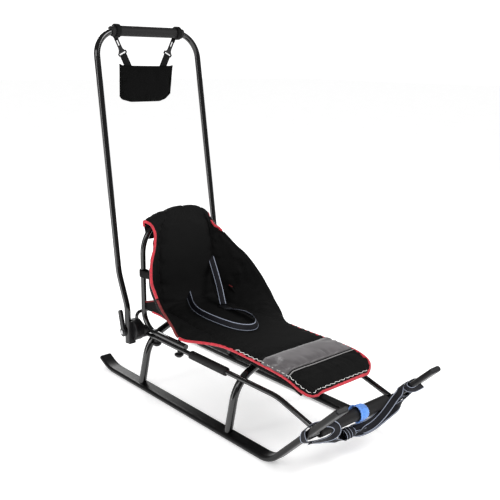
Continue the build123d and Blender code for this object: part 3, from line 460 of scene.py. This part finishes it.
# Seat: one padded sheet over the mat, the wings, the back and down behind the back frame.
# Each station has the middle's x and z, the flat half width there, the free edges' x, the right
# edge's y and z, the left edge's y and z, and the thickness.
STATIONS = (
    (-332.5, 437, 90, -332.5, 118, 437, 112, 437, 5.0),
    (-332.5, 466, 84, -332.5, 122, 462, 112, 462, 5.0),
    (-332.5, 499, 66, -332.5, 126, 484, 110, 476, 5.0),
    (-327.0, 519, 46, -329.0, 128, 493, 110, 488, 5.0),
    (-313.0, 524, 40, -318.0, 129, 494, 106, 489, 5.5),
    (-300.5, 513, 60, -303.0, 118, 484, 99, 480, 8.0),
    (-298.0, 478, 84, -285.0, 117, 459, 106, 457, 9.5),
    (-298.0, 432, 96, -265.0, 131, 428, 128, 427, 10.0),
    (-298.0, 384, 98, -245.0, 156, 391, 155, 391, 10.0),
    (-298.0, 334, 98, -225.0, 172, 368, 173, 368, 10.0),
    (-296.0, 286, 98, -205.0, 184, 342, 186, 342, 10.0),
    (-284.0, 246, 99, -185.0, 188, 322, 190, 322, 10.0),
    (-258.0, 226, 100, -165.0, 191, 302, 193, 302, 10.0),
    (-222.0, 223, 102, -145.0, 192, 282, 193, 282, 10.0),
    (-180.0, 223, 104, -125.0, 190, 264, 192, 265, 10.0),
    (-140.0, 223, 105, -105.0, 186, 242, 191, 244, 10.0),
    (-103.0, 223, 106, -83.0, 187, 223, 191, 225, 10.0),
    (-70.0, 223, 107, -62.0, 180, 217, 181, 218, 10.0),
    (-42.0, 223, 108, -42.0, 166, 216, 166, 217, 10.0),
    (-16.0, 223, 108, -16.0, 149, 216, 148, 217, 10.0),
    (12.0, 223, 108, 12.0, 135, 216, 134, 217, 10.0),
    (45.0, 223, 108, 45.0, 126, 215, 125, 219, 10.0),
    (100.0, 223, 108, 100.0, 122, 212, 121, 220, 10.0),
    (170.0, 223, 108, 170.0, 122, 209, 120, 221, 10.0),
    (235.0, 222, 106, 235.0, 122, 205, 120, 221, 10.0),
    (280.0, 217, 104, 280.0, 123, 200, 121, 218, 10.0),
    (312.0, 206, 103, 312.0, 123, 190, 123, 209, 10.0),
    (332.0, 198, 98, 331.0, 120, 184, 121, 199, 9.0),
    (344.0, 190, 90, 342.0, 110, 178, 110, 187, 7.0),
    (350.5, 183, 76, 349.5, 92, 177, 92, 180, 6.0),
)
MID_X, MID_Z, RIGHT_Y, RIGHT_Z, LEFT_Z, THICK = 0, 1, 4, 5, 7, 8
ROWS, HALF_COLUMNS, FLAT_SHARE = 180, 36, 0.52
WING_BEND_X, WING_BEND_Y = 0.36, 0.6
WIDE_WING, WIDE_SAG, NARROW_SAG = 140, 0.3, 0.18


def station_at(place):
    """The seat's station between the table's rows, on a smooth curve."""
    i = min(int(place), len(STATIONS) - 2)
    t = place - i
    rows = [STATIONS[min(max(i + k, 0), len(STATIONS) - 1)] for k in (-1, 0, 1, 2)]
    return [
        0.5 * (2 * b + (c - a) * t + (2 * a - 5 * b + 4 * c - d) * t * t + (3 * b - a - 3 * c + d) * t ** 3)
        for a, b, c, d in zip(*rows)
    ]


def seat_section(station, v):
    """A point across the sheet: v is -1 at its right free edge, 0 at its middle and 1 at its left."""
    mid_x, mid_z, flat, edge_x, right_y, right_z, left_y, left_z, _ = station
    sign, edge_y, edge_z = (-1, right_y, right_z) if v < 0 else (1, left_y, left_z)
    v = abs(v)
    if v <= FLAT_SHARE:
        return Vector((mid_x, sign * flat * v / FLAT_SHARE, mid_z))
    t = (v - FLAT_SHARE) / (1 - FLAT_SHARE)
    flat_end = Vector((mid_x, sign * flat, mid_z))
    sag = WIDE_SAG if edge_y > WIDE_WING else NARROW_SAG
    bend = Vector((
        mid_x + WING_BEND_X * (edge_x - mid_x),
        sign * (flat + WING_BEND_Y * (edge_y - flat)),
        mid_z + sag * (edge_z - mid_z),
    ))
    free_end = Vector((edge_x, sign * edge_y, edge_z))
    return flat_end * (1 - t) ** 2 + bend * (2 * t * (1 - t)) + free_end * t * t


stations = [station_at(r / (ROWS - 1) * (len(STATIONS) - 1)) for r in range(ROWS)]
columns = [c / HALF_COLUMNS for c in range(-HALF_COLUMNS, HALF_COLUMNS + 1)]
WIDE = len(columns)
MAT_FLAT = round(FLAT_SHARE * HALF_COLUMNS)


def grid_normals(grid):
    """The directions out of a grid's face at its points."""
    high, wide = len(grid), len(grid[0])
    out = []
    for r in range(high):
        row = []
        for c in range(wide):
            down = grid[min(r + 1, high - 1)][c] - grid[max(r - 1, 0)][c]
            side = grid[r][min(c + 1, wide - 1)] - grid[r][max(c - 1, 0)]
            row.append(down.cross(side).normalized())
        out.append(row)
    return out


def shell(name, front, back):
    """A closed mesh between two grids of points in millimetres, the front's points first, by rows."""
    high, wide = len(front), len(front[0])
    points = [p * MM for row in front for p in row] + [p * MM for row in back for p in row]
    faces = []

    def at(layer, r, c):
        return (layer * high + r) * wide + c

    for r in range(high - 1):
        for c in range(wide - 1):
            faces.append((at(0, r, c), at(0, r + 1, c), at(0, r + 1, c + 1), at(0, r, c + 1)))
            faces.append((at(1, r, c + 1), at(1, r + 1, c + 1), at(1, r + 1, c), at(1, r, c)))
        faces.append((at(0, r, 0), at(1, r, 0), at(1, r + 1, 0), at(0, r + 1, 0)))
        faces.append((
            at(1, r, wide - 1), at(0, r, wide - 1), at(0, r + 1, wide - 1), at(1, r + 1, wide - 1),
        ))
    for c in range(wide - 1):
        faces.append((at(0, 0, c + 1), at(1, 0, c + 1), at(1, 0, c), at(0, 0, c)))
        faces.append((
            at(0, high - 1, c), at(1, high - 1, c), at(1, high - 1, c + 1), at(0, high - 1, c + 1),
        ))
    return mesh_object(name, points, faces)


CLOTH_FRAMES = 20


def puff(obj, pinned, pressure, slack, cap):
    """Fills a closed cloth shell from inside, some points held, and none moved further than cap."""
    rest = [v.co.copy() for v in obj.data.vertices]
    held = obj.vertex_groups.new(name="held")
    held.add(sorted(pinned), 1.0, "REPLACE")
    cloth = obj.modifiers.new("cloth", "CLOTH")
    settings = cloth.settings
    settings.quality = 5
    settings.mass = 0.2
    settings.tension_stiffness = 12
    settings.compression_stiffness = 8
    settings.shear_stiffness = 4
    settings.bending_stiffness = 0.08
    settings.use_pressure = True
    settings.uniform_pressure_force = pressure
    settings.vertex_group_mass = "held"
    settings.shrink_min = -slack
    settings.effector_weights.gravity = 0
    cloth.collision_settings.use_collision = False
    cloth.point_cache.frame_start = 1
    cloth.point_cache.frame_end = CLOTH_FRAMES
    for frame_number in range(1, CLOTH_FRAMES + 1):
        scene.frame_set(frame_number)
    solved = obj.evaluated_get(bpy.context.evaluated_depsgraph_get())
    moved = [v.co.copy() for v in solved.data.vertices]
    obj.modifiers.remove(cloth)
    obj.vertex_groups.clear()
    for v, was, now in zip(obj.data.vertices, rest, moved):
        step = now - was
        if step.length > cap:
            step *= cap / step.length
        v.co = was + step
    scene.frame_set(1)


# The sheet thins to half towards its free edges, and more where the wings are wide
WING_START, WING_GROWTH, WING_BLEND, WING_THIN = 130, 30, 0.15, 0.45
EDGE_TAPER = 0.25
upper = [[seat_section(station, c) for c in columns] for station in stations]
normals = grid_normals(upper)
lower = []
for r in range(ROWS):
    row = []
    widening = clamp((stations[r][RIGHT_Y] - WING_START) / WING_GROWTH)
    for c in range(WIDE):
        wing = widening * clamp((abs(columns[c]) - FLAT_SHARE) / WING_BLEND)
        taper = 0.5 + 0.5 * min(1, (1 - abs(columns[c])) / EDGE_TAPER)
        depth = stations[r][THICK] * taper * (1 - WING_THIN * wing)
        row.append(upper[r][c] - normals[r][c] * depth)
    lower.append(row)

# The rows at the back's top, at its fold to the mat and at its seam
CREST_Z, FOLD_X, BACK_SEAM_X, BACK_SEAM_Z = 505, -278, -299, 496
crest = next(r for r in range(ROWS) if stations[r][MID_Z] > CREST_Z)
fold = min(range(crest, ROWS), key=lambda r: abs(stations[r][MID_X] - FOLD_X))
back_seam = min(
    range(crest, ROWS),
    key=lambda r: abs(stations[r][MID_X] - BACK_SEAM_X) + abs(stations[r][MID_Z] - BACK_SEAM_Z),
)


def row_at(x):
    """The row of the mat whose middle is nearest to this x."""
    return min(range(fold, ROWS), key=lambda r: abs(stations[r][MID_X] - x))


TOE_SEAM, BAND_SEAM, BAND_END, WING_END = row_at(280), row_at(184), row_at(272), row_at(30)
TUFT_ROWS, TUFT_COLUMNS = 14, 12
seams = {fold, TOE_SEAM, BAND_SEAM, BAND_END, back_seam}
pinned = set()
for r in range(ROWS):
    for c in range(WIDE):
        rim = r < 2 or r > ROWS - 3 or c < 2 or c > WIDE - 3
        wing_seam = crest < r < WING_END and abs(abs(c - HALF_COLUMNS) - MAT_FLAT) < 1
        tuft = 4 < r < ROWS - 5 and r % TUFT_ROWS == 0 and c % TUFT_COLUMNS == 0
        if rim or r in seams or wing_seam:
            pinned |= {r * WIDE + c, (ROWS + r) * WIDE + c}
        elif tuft:
            pinned.add((ROWS + r) * WIDE + c)
seat = shell("seat_padding", upper, lower)
puff(seat, pinned, pressure=4.0, slack=0.035, cap=0.006)

# Creases: broad and fine ones all over, ridges over the toe and folds in the wings
CREASED_TOE_X, CREASED_TOE_LENGTH = 282, 25
upper = [[seat.data.vertices[r * WIDE + c].co / MM for c in range(WIDE)] for r in range(ROWS)]
normals = grid_normals(upper)
for r in range(ROWS):
    toe = clamp((stations[r][MID_X] - CREASED_TOE_X) / CREASED_TOE_LENGTH)
    for c in range(WIDE):
        p = upper[r][c]
        wing = clamp((abs(c - HALF_COLUMNS) - MAT_FLAT) / 6) * (0 if r < crest else 1)
        inner = min(1, (1 - abs(columns[c])) / 0.12) * min(1, (ROWS - 1 - r) / 5)
        fine = noise.noise(Vector((p.x * 0.055, p.y * 0.02, p.z * 0.03)))
        broad = noise.noise(Vector((p.x * 0.016, p.y * 0.022, p.z * 0.02 + 7)))
        ridge = 1 - 2 * abs(noise.noise(Vector((p.x * 0.028 + p.z * 0.03, p.y * 0.05, 3.1))))
        toe_ridges = toe * 2.6 * ridge * fine * 2
        wing_folds = wing * 1.3 * (ridge - 0.5)
        push = inner * (broad + 0.5 * fine + toe_ridges + wing_folds)
        upper[r][c] = p + normals[r][c] * push
        seat.data.vertices[r * WIDE + c].co = upper[r][c] * MM
piece(seat, "frame", FABRIC, ("seat_mat", "seat_back", "seat_wing_left", "seat_wing_right"))


EDGE_INSET = 0.3


def edge_line(column, rows):
    """The sheet's edge at one side, through these rows."""
    return [(upper[r][column] - normals[r][column] * stations[r][THICK] * EDGE_INSET) * MM for r in rows]


def on_face(r, c, proud):
    """A point this many millimetres out of the sheet's face, in metres."""
    return (upper[r][c] + normals[r][c] * proud) * MM


def trim(name, line, radius, surface, flat=1.0, step=0.005):
    """A thin round trim along a line on the frame's soft pieces."""
    piece(tube(name, resample(line, step), radius, flat), "frame", surface)


def row_by_edge(z):
    """The first row after the crest whose right free edge is below this height."""
    return next(r for r in range(crest, ROWS) if stations[r][RIGHT_Z] < z)


# Bindings round the sheet's edge: red with a black top, and a stretch on each side drawn darker as painted
# shade, in a darker copy of the red on the right and in the seat's black on the left
LAST, LEFT_EDGE = ROWS - 1, WIDE - 1
UNDER_SHIFT = Vector((0, 0.003, -0.0105))
near_top, near_shaded, near_again = crest - 4, row_by_edge(306), row_by_edge(221)
far_shaded = next(r for r in range(crest, ROWS) if stations[r][LEFT_Z] < 440)
near_front = edge_line(0, range(near_again, ROWS))
front_line = [on_face(LAST, c, -2) for c in range(1, WIDE - 1)]
far_front = edge_line(LEFT_EDGE, range(LAST, WING_END, -1))
under_line = [p + UNDER_SHIFT for p in edge_line(0, range(row_at(60), row_at(325)))]
trim("binding_right_back", edge_line(0, range(near_top, near_shaded)), 0.0043, RED, 0.85)
# The right side's darker red stretch: painted shade on the red binding
trim("binding_right_shaded", edge_line(0, range(near_shaded, near_again)), 0.004, SHADED_RED, 0.8)
trim("binding_front", near_front + front_line + far_front, 0.0045, RED, 0.85)
# The left side's black stretch: painted shade on the red binding
trim("binding_left_shaded", edge_line(LEFT_EDGE, range(WING_END, far_shaded, -1)), 0.0034, FABRIC, 0.8)
trim("binding_left_back", edge_line(LEFT_EDGE, range(far_shaded, crest, -1)), 0.004, RED, 0.85)
trim("binding_top", [on_face(crest, c, 1) for c in range(2, WIDE - 2)], 0.0036, FABRIC, 0.8)
trim("under_edge", under_line, 0.0036, FABRIC)

# Stitches inside the binding, over the toe and along the right side
STITCH_SPACING, STITCH_REACH, STITCH_LIFT = 0.009, 0.0028, 0.0012
stitch_line = [on_face(r, 5, 0.5) for r in range(row_at(70), LAST - 4)]
stitch_line += [on_face(LAST - 5, c, 0.5) for c in range(6, WIDE - 5)]
stitches = resample(stitch_line, STITCH_SPACING)
zigzag = []
for i, p in enumerate(stitches[1:-1], 1):
    run = (stitches[i + 1] - stitches[i - 1]).normalized()
    sideways = run.cross(Vector((0, 0, 1))).normalized()
    reach = STITCH_REACH if i % 2 else -STITCH_REACH
    zigzag.append(p + sideways * reach + Vector((0, 0, STITCH_LIFT)))
trim("stitching", zigzag, 0.0007, THREAD, step=0.003)

# Seams where the wings meet the mat and the back
for side, column in (("right", HALF_COLUMNS - MAT_FLAT), ("left", HALF_COLUMNS + MAT_FLAT)):
    seam_line = [on_face(r, column, 0.2) for r in range(back_seam, row_at(-20))]
    trim("wing_seam_" + side, seam_line, 0.0014, FABRIC)

# Satin band and its piping line
band_rows, band_columns = range(BAND_SEAM, BAND_END + 1), range(2, WIDE - 3)
points = [on_face(r, c, 1.3) for r in band_rows for c in band_columns]
count = len(band_columns)
faces = []
for i in range(len(band_rows) - 1):
    for j in range(count - 1):
        faces.append((i * count + j, (i + 1) * count + j, (i + 1) * count + j + 1, i * count + j + 1))
satin = mesh_object("satin_band", points, faces)
thickness = satin.modifiers.new("thickness", "SOLIDIFY")
thickness.thickness = 0.0012
thickness.offset = 0
piece(satin, "frame", SATIN)
trim("toe_piping", [on_face(TOE_SEAM, c, 1.2) for c in range(2, WIDE - 2)], 0.0015, PIPING)

# Rear flaps under the wings, with a red foot edge and a top edge in the darker red of painted shade under
# the wing, and the tie straps round the back frame.
# The tables give x and z, and for the tie the left one's x, y, z and its face's turn in x and y.
FLAP_TOP = ((-318, 250), (-290, 259), (-262, 268), (-240, 262), (-211, 243), (-181, 223))
FLAP_FOOT = ((-316, 229), (-297, 228), (-277, 229), (-246, 230), (-214, 227), (-181, 221))
FLAP_HIGH, FLAP_WIDE, FLAP_BULGE_WIDE = 8, 25, 20
FLAP_OUT, FLAP_IN, FLAP_EDGE = 137.2, 133.4, 136.6
TIE_ROUTE = (
    (-272, 150, 343, 0.6, 0.8), (-292, 149, 341, 0.3, 1), (-310, 149.5, 340, 0, 1),
    (-322, 149.5, 340, -0.1, 1), (-330, 145, 340, -0.9, 0.5), (-330, 133, 340, -0.9, -0.5),
    (-320, 128.6, 340, 0, -1), (-306, 130, 340, 0.2, -1), (-296, 136, 340, 0.5, -0.8),
    (-284, 146, 341, 0.5, -0.8),
)
for side, sign in SIDES:
    outer, inner = [], []
    for k in range(FLAP_HIGH + 1):
        down = k / FLAP_HIGH
        row_out, row_in = [], []
        for i in range(FLAP_WIDE + 1):
            share = i / FLAP_WIDE
            x, z = part_way(FLAP_TOP, share).lerp(part_way(FLAP_FOOT, share), down)
            wave = 1.4 * noise.noise(Vector((x * 0.03, z * 0.05, sign)))
            bulge = 2.2 * math.sin(math.pi * down) * math.sin(math.pi * min(1, i / FLAP_BULGE_WIDE))
            row_out.append(Vector((x, sign * (FLAP_OUT + wave + bulge), z)))
            row_in.append(Vector((x, sign * FLAP_IN, z)))
        outer.append(row_out if sign > 0 else row_out[::-1])
        inner.append(row_in if sign > 0 else row_in[::-1])
    flap = shell("flap_" + side, outer, inner)
    piece(flap, "frame", FABRIC, (f"seat_flap_{side}",))
    top_edge = [Vector((x, sign * FLAP_EDGE, z)) * MM for x, z in FLAP_TOP[:4]]
    foot_edge = [Vector((x, sign * FLAP_OUT, z)) * MM for x, z in FLAP_FOOT[2:]]
    # The top edge takes the darker red: painted shade under the wing
    trim("flap_top_edge_" + side, spline_points(top_edge), 0.0026, SHADED_RED)
    trim("flap_foot_edge_" + side, spline_points(foot_edge), 0.0032, RED)
    tie_route = [((x, sign * y, z), (face_x, sign * face_y, 0)) for x, y, z, face_x, face_y in TIE_ROUTE]
    tie, _ = strap("tie_" + side, tie_route, 0.022, 0.0022)
    piece(tie, "frame", PLAIN_WEBBING, (f"tie_strap_{side}",))

# Harness
shoulder, _ = strap("shoulder_webbing", (
    ((-301, 99, 358), (0.8, -0.5, 0.2)),
    ((-291, 96, 347), (0.8, -0.5, 0.3)),
    ((-262, 88, 314), (0.75, -0.6, 0.4)),
    ((-226, 77, 271), (0.6, -0.6, 0.6)),
    ((-203, 66, 245), (0.5, -0.4, 0.8)),
    ((-188, 58, 236), (0.1, -0.1, 1)),
), WEB_WIDTH, WEB_THICK)
piece(shoulder, "frame", WEBBING, ("shoulder_strap",))
belt, _ = strap("belt_webbing", (
    ((-299, 6, 262), (0.4, -0.8, 0.5)),
    ((-266, -8, 247), (0.3, -0.9, 0.4)),
    ((-225, -31, 241), (0.3, -0.9, 0.4)),
    ((-172, -48, 240), (0.1, -1, 0.3)),
    ((-117, -51, 239), (0, -1, 0.3)),
    ((-60, -50, 239), (0.1, -1, 0.3)),
    ((-10, -44, 239), (0.3, -0.9, 0.35)),
    ((21, -26, 239), (0.9, -0.5, 0.4)),
    ((26, -2, 239), (1, 0.3, 0.4)),
    ((4, 24, 240), (0.6, 0.8, 0.5)),
    ((-34, 46, 241), (0.2, 0.9, 0.6)),
    ((-80, 53, 241), (0.1, 0.9, 0.7)),
    ((-125, 54, 237), (0, 0.5, 0.9)),
    ((-158, 54, 230), (0, 0.1, 1)),
), WEB_WIDTH, WEB_THICK)
piece(belt, "frame", WEBBING, ("waist_belt",))

# Blue cloth sleeve on the foot rest, gathered round it and turned up at its first edge
BAND_AXIS = Vector((386.5, 0, 109))
SLEEVE_START, SLEEVE_LENGTH, SLEEVE_RADIUS, SLEEVE_INSIDE = 6, 33, 19.2, 16.4
SLEEVE_RINGS, SLEEVE_SIDES = 18, 96
outer, inner = [], []
for k in range(SLEEVE_RINGS + 1):
    y = SLEEVE_START + SLEEVE_LENGTH * k / SLEEVE_RINGS
    centre = BAND_AXIS + Vector((0, y, 0))
    row_out, row_in = [], []
    for i in range(SLEEVE_SIDES + 1):
        turn = 2 * math.pi * i / SLEEVE_SIDES
        radial = Vector((math.cos(turn), 0, math.sin(turn)))
        pleats = 0.9 * math.sin(turn * 17 + 0.6 * math.sin(y * 0.5))
        creases = 1.2 * noise.noise(Vector((math.cos(turn) * 2, math.sin(turn) * 2, y * 0.1)))
        gather = pleats + creases
        edge = max(0, 1 - k / 4) ** 1.5 * (2.2 + 3.4 * max(0, radial.dot(Vector((-0.3, 0, 1)))))
        ease = max(0, (k - 15) / 3) * 1.2
        swell = 1.6 * math.sin(math.pi * k / SLEEVE_RINGS)
        radius = SLEEVE_RADIUS + swell + gather * 0.7 + edge - ease
        row_out.append(centre + radial * radius)
        row_in.append(centre + radial * max(SLEEVE_INSIDE, radius - 2))
    outer.append(row_out)
    inner.append(row_in)
sleeve = shell("blue_sleeve", outer, inner)
merge = bmesh.new()
merge.from_mesh(sleeve.data)
bmesh.ops.remove_doubles(merge, verts=merge.verts, dist=1e-6)
bmesh.ops.recalc_face_normals(merge, faces=merge.faces)
merge.to_mesh(sleeve.data)
merge.free()
piece(sleeve, "frame", BLUE, ("foot_rest_band",))

# Bag: a flat pouch with gathered sides, its seams and its two tabs
BAG_X = -487
BAG_TOP = ((-96, 935), (-88, 931), (-60, 929.5), (0, 929), (60, 929), (88, 930), (95, 932))
BAG_FOOT = ((-98, 845), (-91, 835), (-60, 827), (0, 827), (44, 827), (66, 834), (85, 850))
BAG_HIGH, BAG_WIDE = 30, 54
BAG_HALF, BAG_SWELL, BAG_SEAM = 1.6, 4.6, 4
outer, inner = [], []
for k in range(BAG_HIGH + 1):
    row_out, row_in = [], []
    for i in range(BAG_WIDE + 1):
        u, v = i / BAG_WIDE, k / BAG_HIGH
        y, z = part_way(BAG_TOP, u).lerp(part_way(BAG_FOOT, u), v)
        swell = (1 - abs(2 * u - 1) ** 4) * (0.35 + 0.65 * math.sin(math.pi * (0.12 + 0.8 * v)))
        dent = 1.6 * noise.noise(Vector((y * 0.03, z * 0.04, 2.0))) * swell
        row_out.append(Vector((BAG_X + BAG_HALF + BAG_SWELL * swell + dent, y, z)))
        row_in.append(Vector((BAG_X - BAG_HALF - BAG_SWELL * swell + dent, y, z)))
    outer.append(row_out)
    inner.append(row_in)
pouch = shell("bag_pouch", outer, inner)
BAG_ROW = BAG_WIDE + 1
BAG_COUNT = (BAG_HIGH + 1) * BAG_ROW
bag_pins = set()
for k in range(BAG_HIGH + 1):
    for i in range(BAG_ROW):
        rim = k < 2 or k > BAG_HIGH - 1 or i < 1 or i > BAG_WIDE - 1
        if rim or i in (BAG_SEAM, BAG_WIDE - BAG_SEAM):
            bag_pins |= {k * BAG_ROW + i, BAG_COUNT + k * BAG_ROW + i}
puff(pouch, bag_pins, pressure=2.0, slack=0.05, cap=0.005)
piece(pouch, "bag", BAG_FABRIC, ("bag",))


def bag_trim(name, line, radius):
    """A seam or a hem on the bag."""
    piece(tube(name, resample(line, 0.004), radius), "bag", BAG_FABRIC)


SEAM_LIFT = Vector((0.0006, 0, 0))
HEM_STEPS = 40
for side, i in (("right", BAG_SEAM), ("left", BAG_WIDE - BAG_SEAM)):
    seam_line = [pouch.data.vertices[k * BAG_ROW + i].co.copy() + SEAM_LIFT for k in range(BAG_HIGH + 1)]
    bag_trim("bag_seam_" + side, seam_line, 0.0013)
for name, table, radius in (("bag_hem", BAG_TOP, 0.0024), ("bag_foot_seam", BAG_FOOT, 0.002)):
    hem = [Vector((BAG_X * MM, *(part_way(table, u / HEM_STEPS) * MM))) for u in range(HEM_STEPS + 1)]
    bag_trim(name, hem, radius)

# The bag hangs along a slanted line on each side, by a tab, a swivel, a drop and a band on the grip.
# Places on that line are millimetres up it, and each of the swivel's rows has one and its half width.
HANG_X, HANG_Y, HANG_Z, HANG_ASIDE, HANG_UP = -492.5, 66, 936.4, 0.448, 0.894
TAB_PLACES, DROP_PLACES = (-14, -4, 8, 20, 30), (93, 88, 84, 80, 76)
SWIVEL_ROWS = ((37, 12), (41, 10), (46, 6.5), (52, 5.4), (57, 5), (59, 3))
SWIVEL_ACROSS, SWIVEL_HALF, SWIVEL_CROWN = (-1, -0.5, 0, 0.5, 1), 4.2, 1.4
GRIP_X, GRIP_Z, HOOK_Y, HOOK_RADIUS, HOOK_STEPS = -480.5, 1030, 108, 18.9, 48
FORWARD = (1, 0, 0)


def on_hanger(sign, place):
    """A point this far up the slanted line on one side."""
    return Vector((HANG_X, sign * (HANG_Y + HANG_ASIDE * place), HANG_Z + HANG_UP * place))


for side, sign in SIDES:
    tab, _ = strap("bag_tab_" + side, [(on_hanger(sign, s), FORWARD) for s in TAB_PLACES], 0.024, 0.0026)
    piece(tab, "bag", PLAIN_WEBBING, (f"bag_strap_{side}",))
    band_line, outward = [], []
    for step in range(HOOK_STEPS + 1):
        turn = 2 * math.pi * step / HOOK_STEPS
        x, z = GRIP_X + HOOK_RADIUS * math.cos(turn), GRIP_Z + HOOK_RADIUS * math.sin(turn)
        band_line.append(Vector((x, sign * HOOK_Y, z)) * MM)
        outward.append(Vector((math.cos(turn), 0, math.sin(turn))))
    band = ribbon("hook_band_" + side, band_line, outward, 0.014, 0.0016)
    piece(band, "bag", PLAIN_WEBBING)
    drop, _ = strap("hook_drop_" + side, [(on_hanger(sign, s), FORWARD) for s in DROP_PLACES], 0.013, 0.0062)
    piece(drop, "bag", PLAIN_WEBBING)
    across = Vector((0, HANG_UP, -sign * HANG_ASIDE))
    front_rows, back_rows = [], []
    for place, half in SWIVEL_ROWS:
        centre = on_hanger(sign, place)
        crowns = [(w, Vector((SWIVEL_HALF - SWIVEL_CROWN * abs(w), 0, 0))) for w in SWIVEL_ACROSS]
        front_rows.append([centre + crown + across * (w * half) for w, crown in crowns])
        back_rows.append([centre - crown + across * (w * half) for w, crown in crowns])
    swivel = shell("hook_swivel_" + side, front_rows[::-1], back_rows[::-1])
    piece(swivel, "bag", PLASTIC)

# Floor, light and surroundings
FLOOR_REACH, FLOOR_DROP, WHITE = 30, 0.0005, (1, 1, 1, 1)
corners = [(x * FLOOR_REACH, y * FLOOR_REACH, 0) for x, y in ((-1, -1), (1, -1), (1, 1), (-1, 1))]
floor_mesh = bpy.data.meshes.new("floor")
floor_mesh.from_pydata(corners, [], [(0, 1, 2, 3)])
floor = put(bpy.data.objects.new("floor", floor_mesh))
floor.location.z = -FLOOR_DROP
floor_mat = material("floor", (246, 246, 246), 0.9, 3, 0.0, dark=0.98, light=1.02)
floor_shader = floor_mat.node_tree.nodes["Principled BSDF"]
floor_shader.inputs["Emission Color"].default_value = WHITE
floor_shader.inputs["Emission Strength"].default_value = 0.35
floor.data.materials.append(floor_mat)

# The surroundings show as white, and light the sled less, least of all in reflections
world = bpy.data.worlds.new("world")
scene.world = world
world.use_nodes = True
nodes, links = world.node_tree.nodes, world.node_tree.links
around = nodes["Background"]
around.inputs["Color"].default_value = WHITE
seen = nodes.new("ShaderNodeBackground")
seen.inputs["Color"].default_value = WHITE
seen.inputs["Strength"].default_value = 1.2
rays = nodes.new("ShaderNodeLightPath")
dim = nodes.new("ShaderNodeMapRange")
dim.inputs["To Min"].default_value = 0.75
dim.inputs["To Max"].default_value = 0.16
links.new(rays.outputs["Is Glossy Ray"], dim.inputs["Value"])
links.new(dim.outputs["Result"], around.inputs["Strength"])
choose = nodes.new("ShaderNodeMixShader")
links.new(rays.outputs["Is Camera Ray"], choose.inputs["Fac"])
links.new(around.outputs["Background"], choose.inputs[1])
links.new(seen.outputs["Background"], choose.inputs[2])
links.new(choose.outputs["Shader"], nodes["World Output"].inputs["Surface"])


def lamp(name, place, aim, size, power):
    """A rectangular soft light that points at a place."""
    data = bpy.data.lights.new(name, "AREA")
    data.shape = "RECTANGLE"
    data.size, data.size_y = size
    data.energy = power
    obj = put(bpy.data.objects.new(name, data))
    obj.location = place
    obj.rotation_euler = (Vector(aim) - Vector(place)).to_track_quat("-Z", "Y").to_euler()


lamp("strip", (-0.5, -2.8, 1.0), (-0.3, 0, 0.5), (0.7, 2.4), 26)
lamp("key", (1.6, 1.2, 2.4), (0, 0, 0.3), (1.4, 1.4), 40)
lamp("fill", (0.9, -2.4, 2.0), (0, 0, 0.3), (1.4, 0.8), 10)
lamp("rim", (-2.4, 0.8, 1.8), (0, 0, 0.4), (0.8, 1.6), 25)

scene.view_settings.view_transform = "Standard"
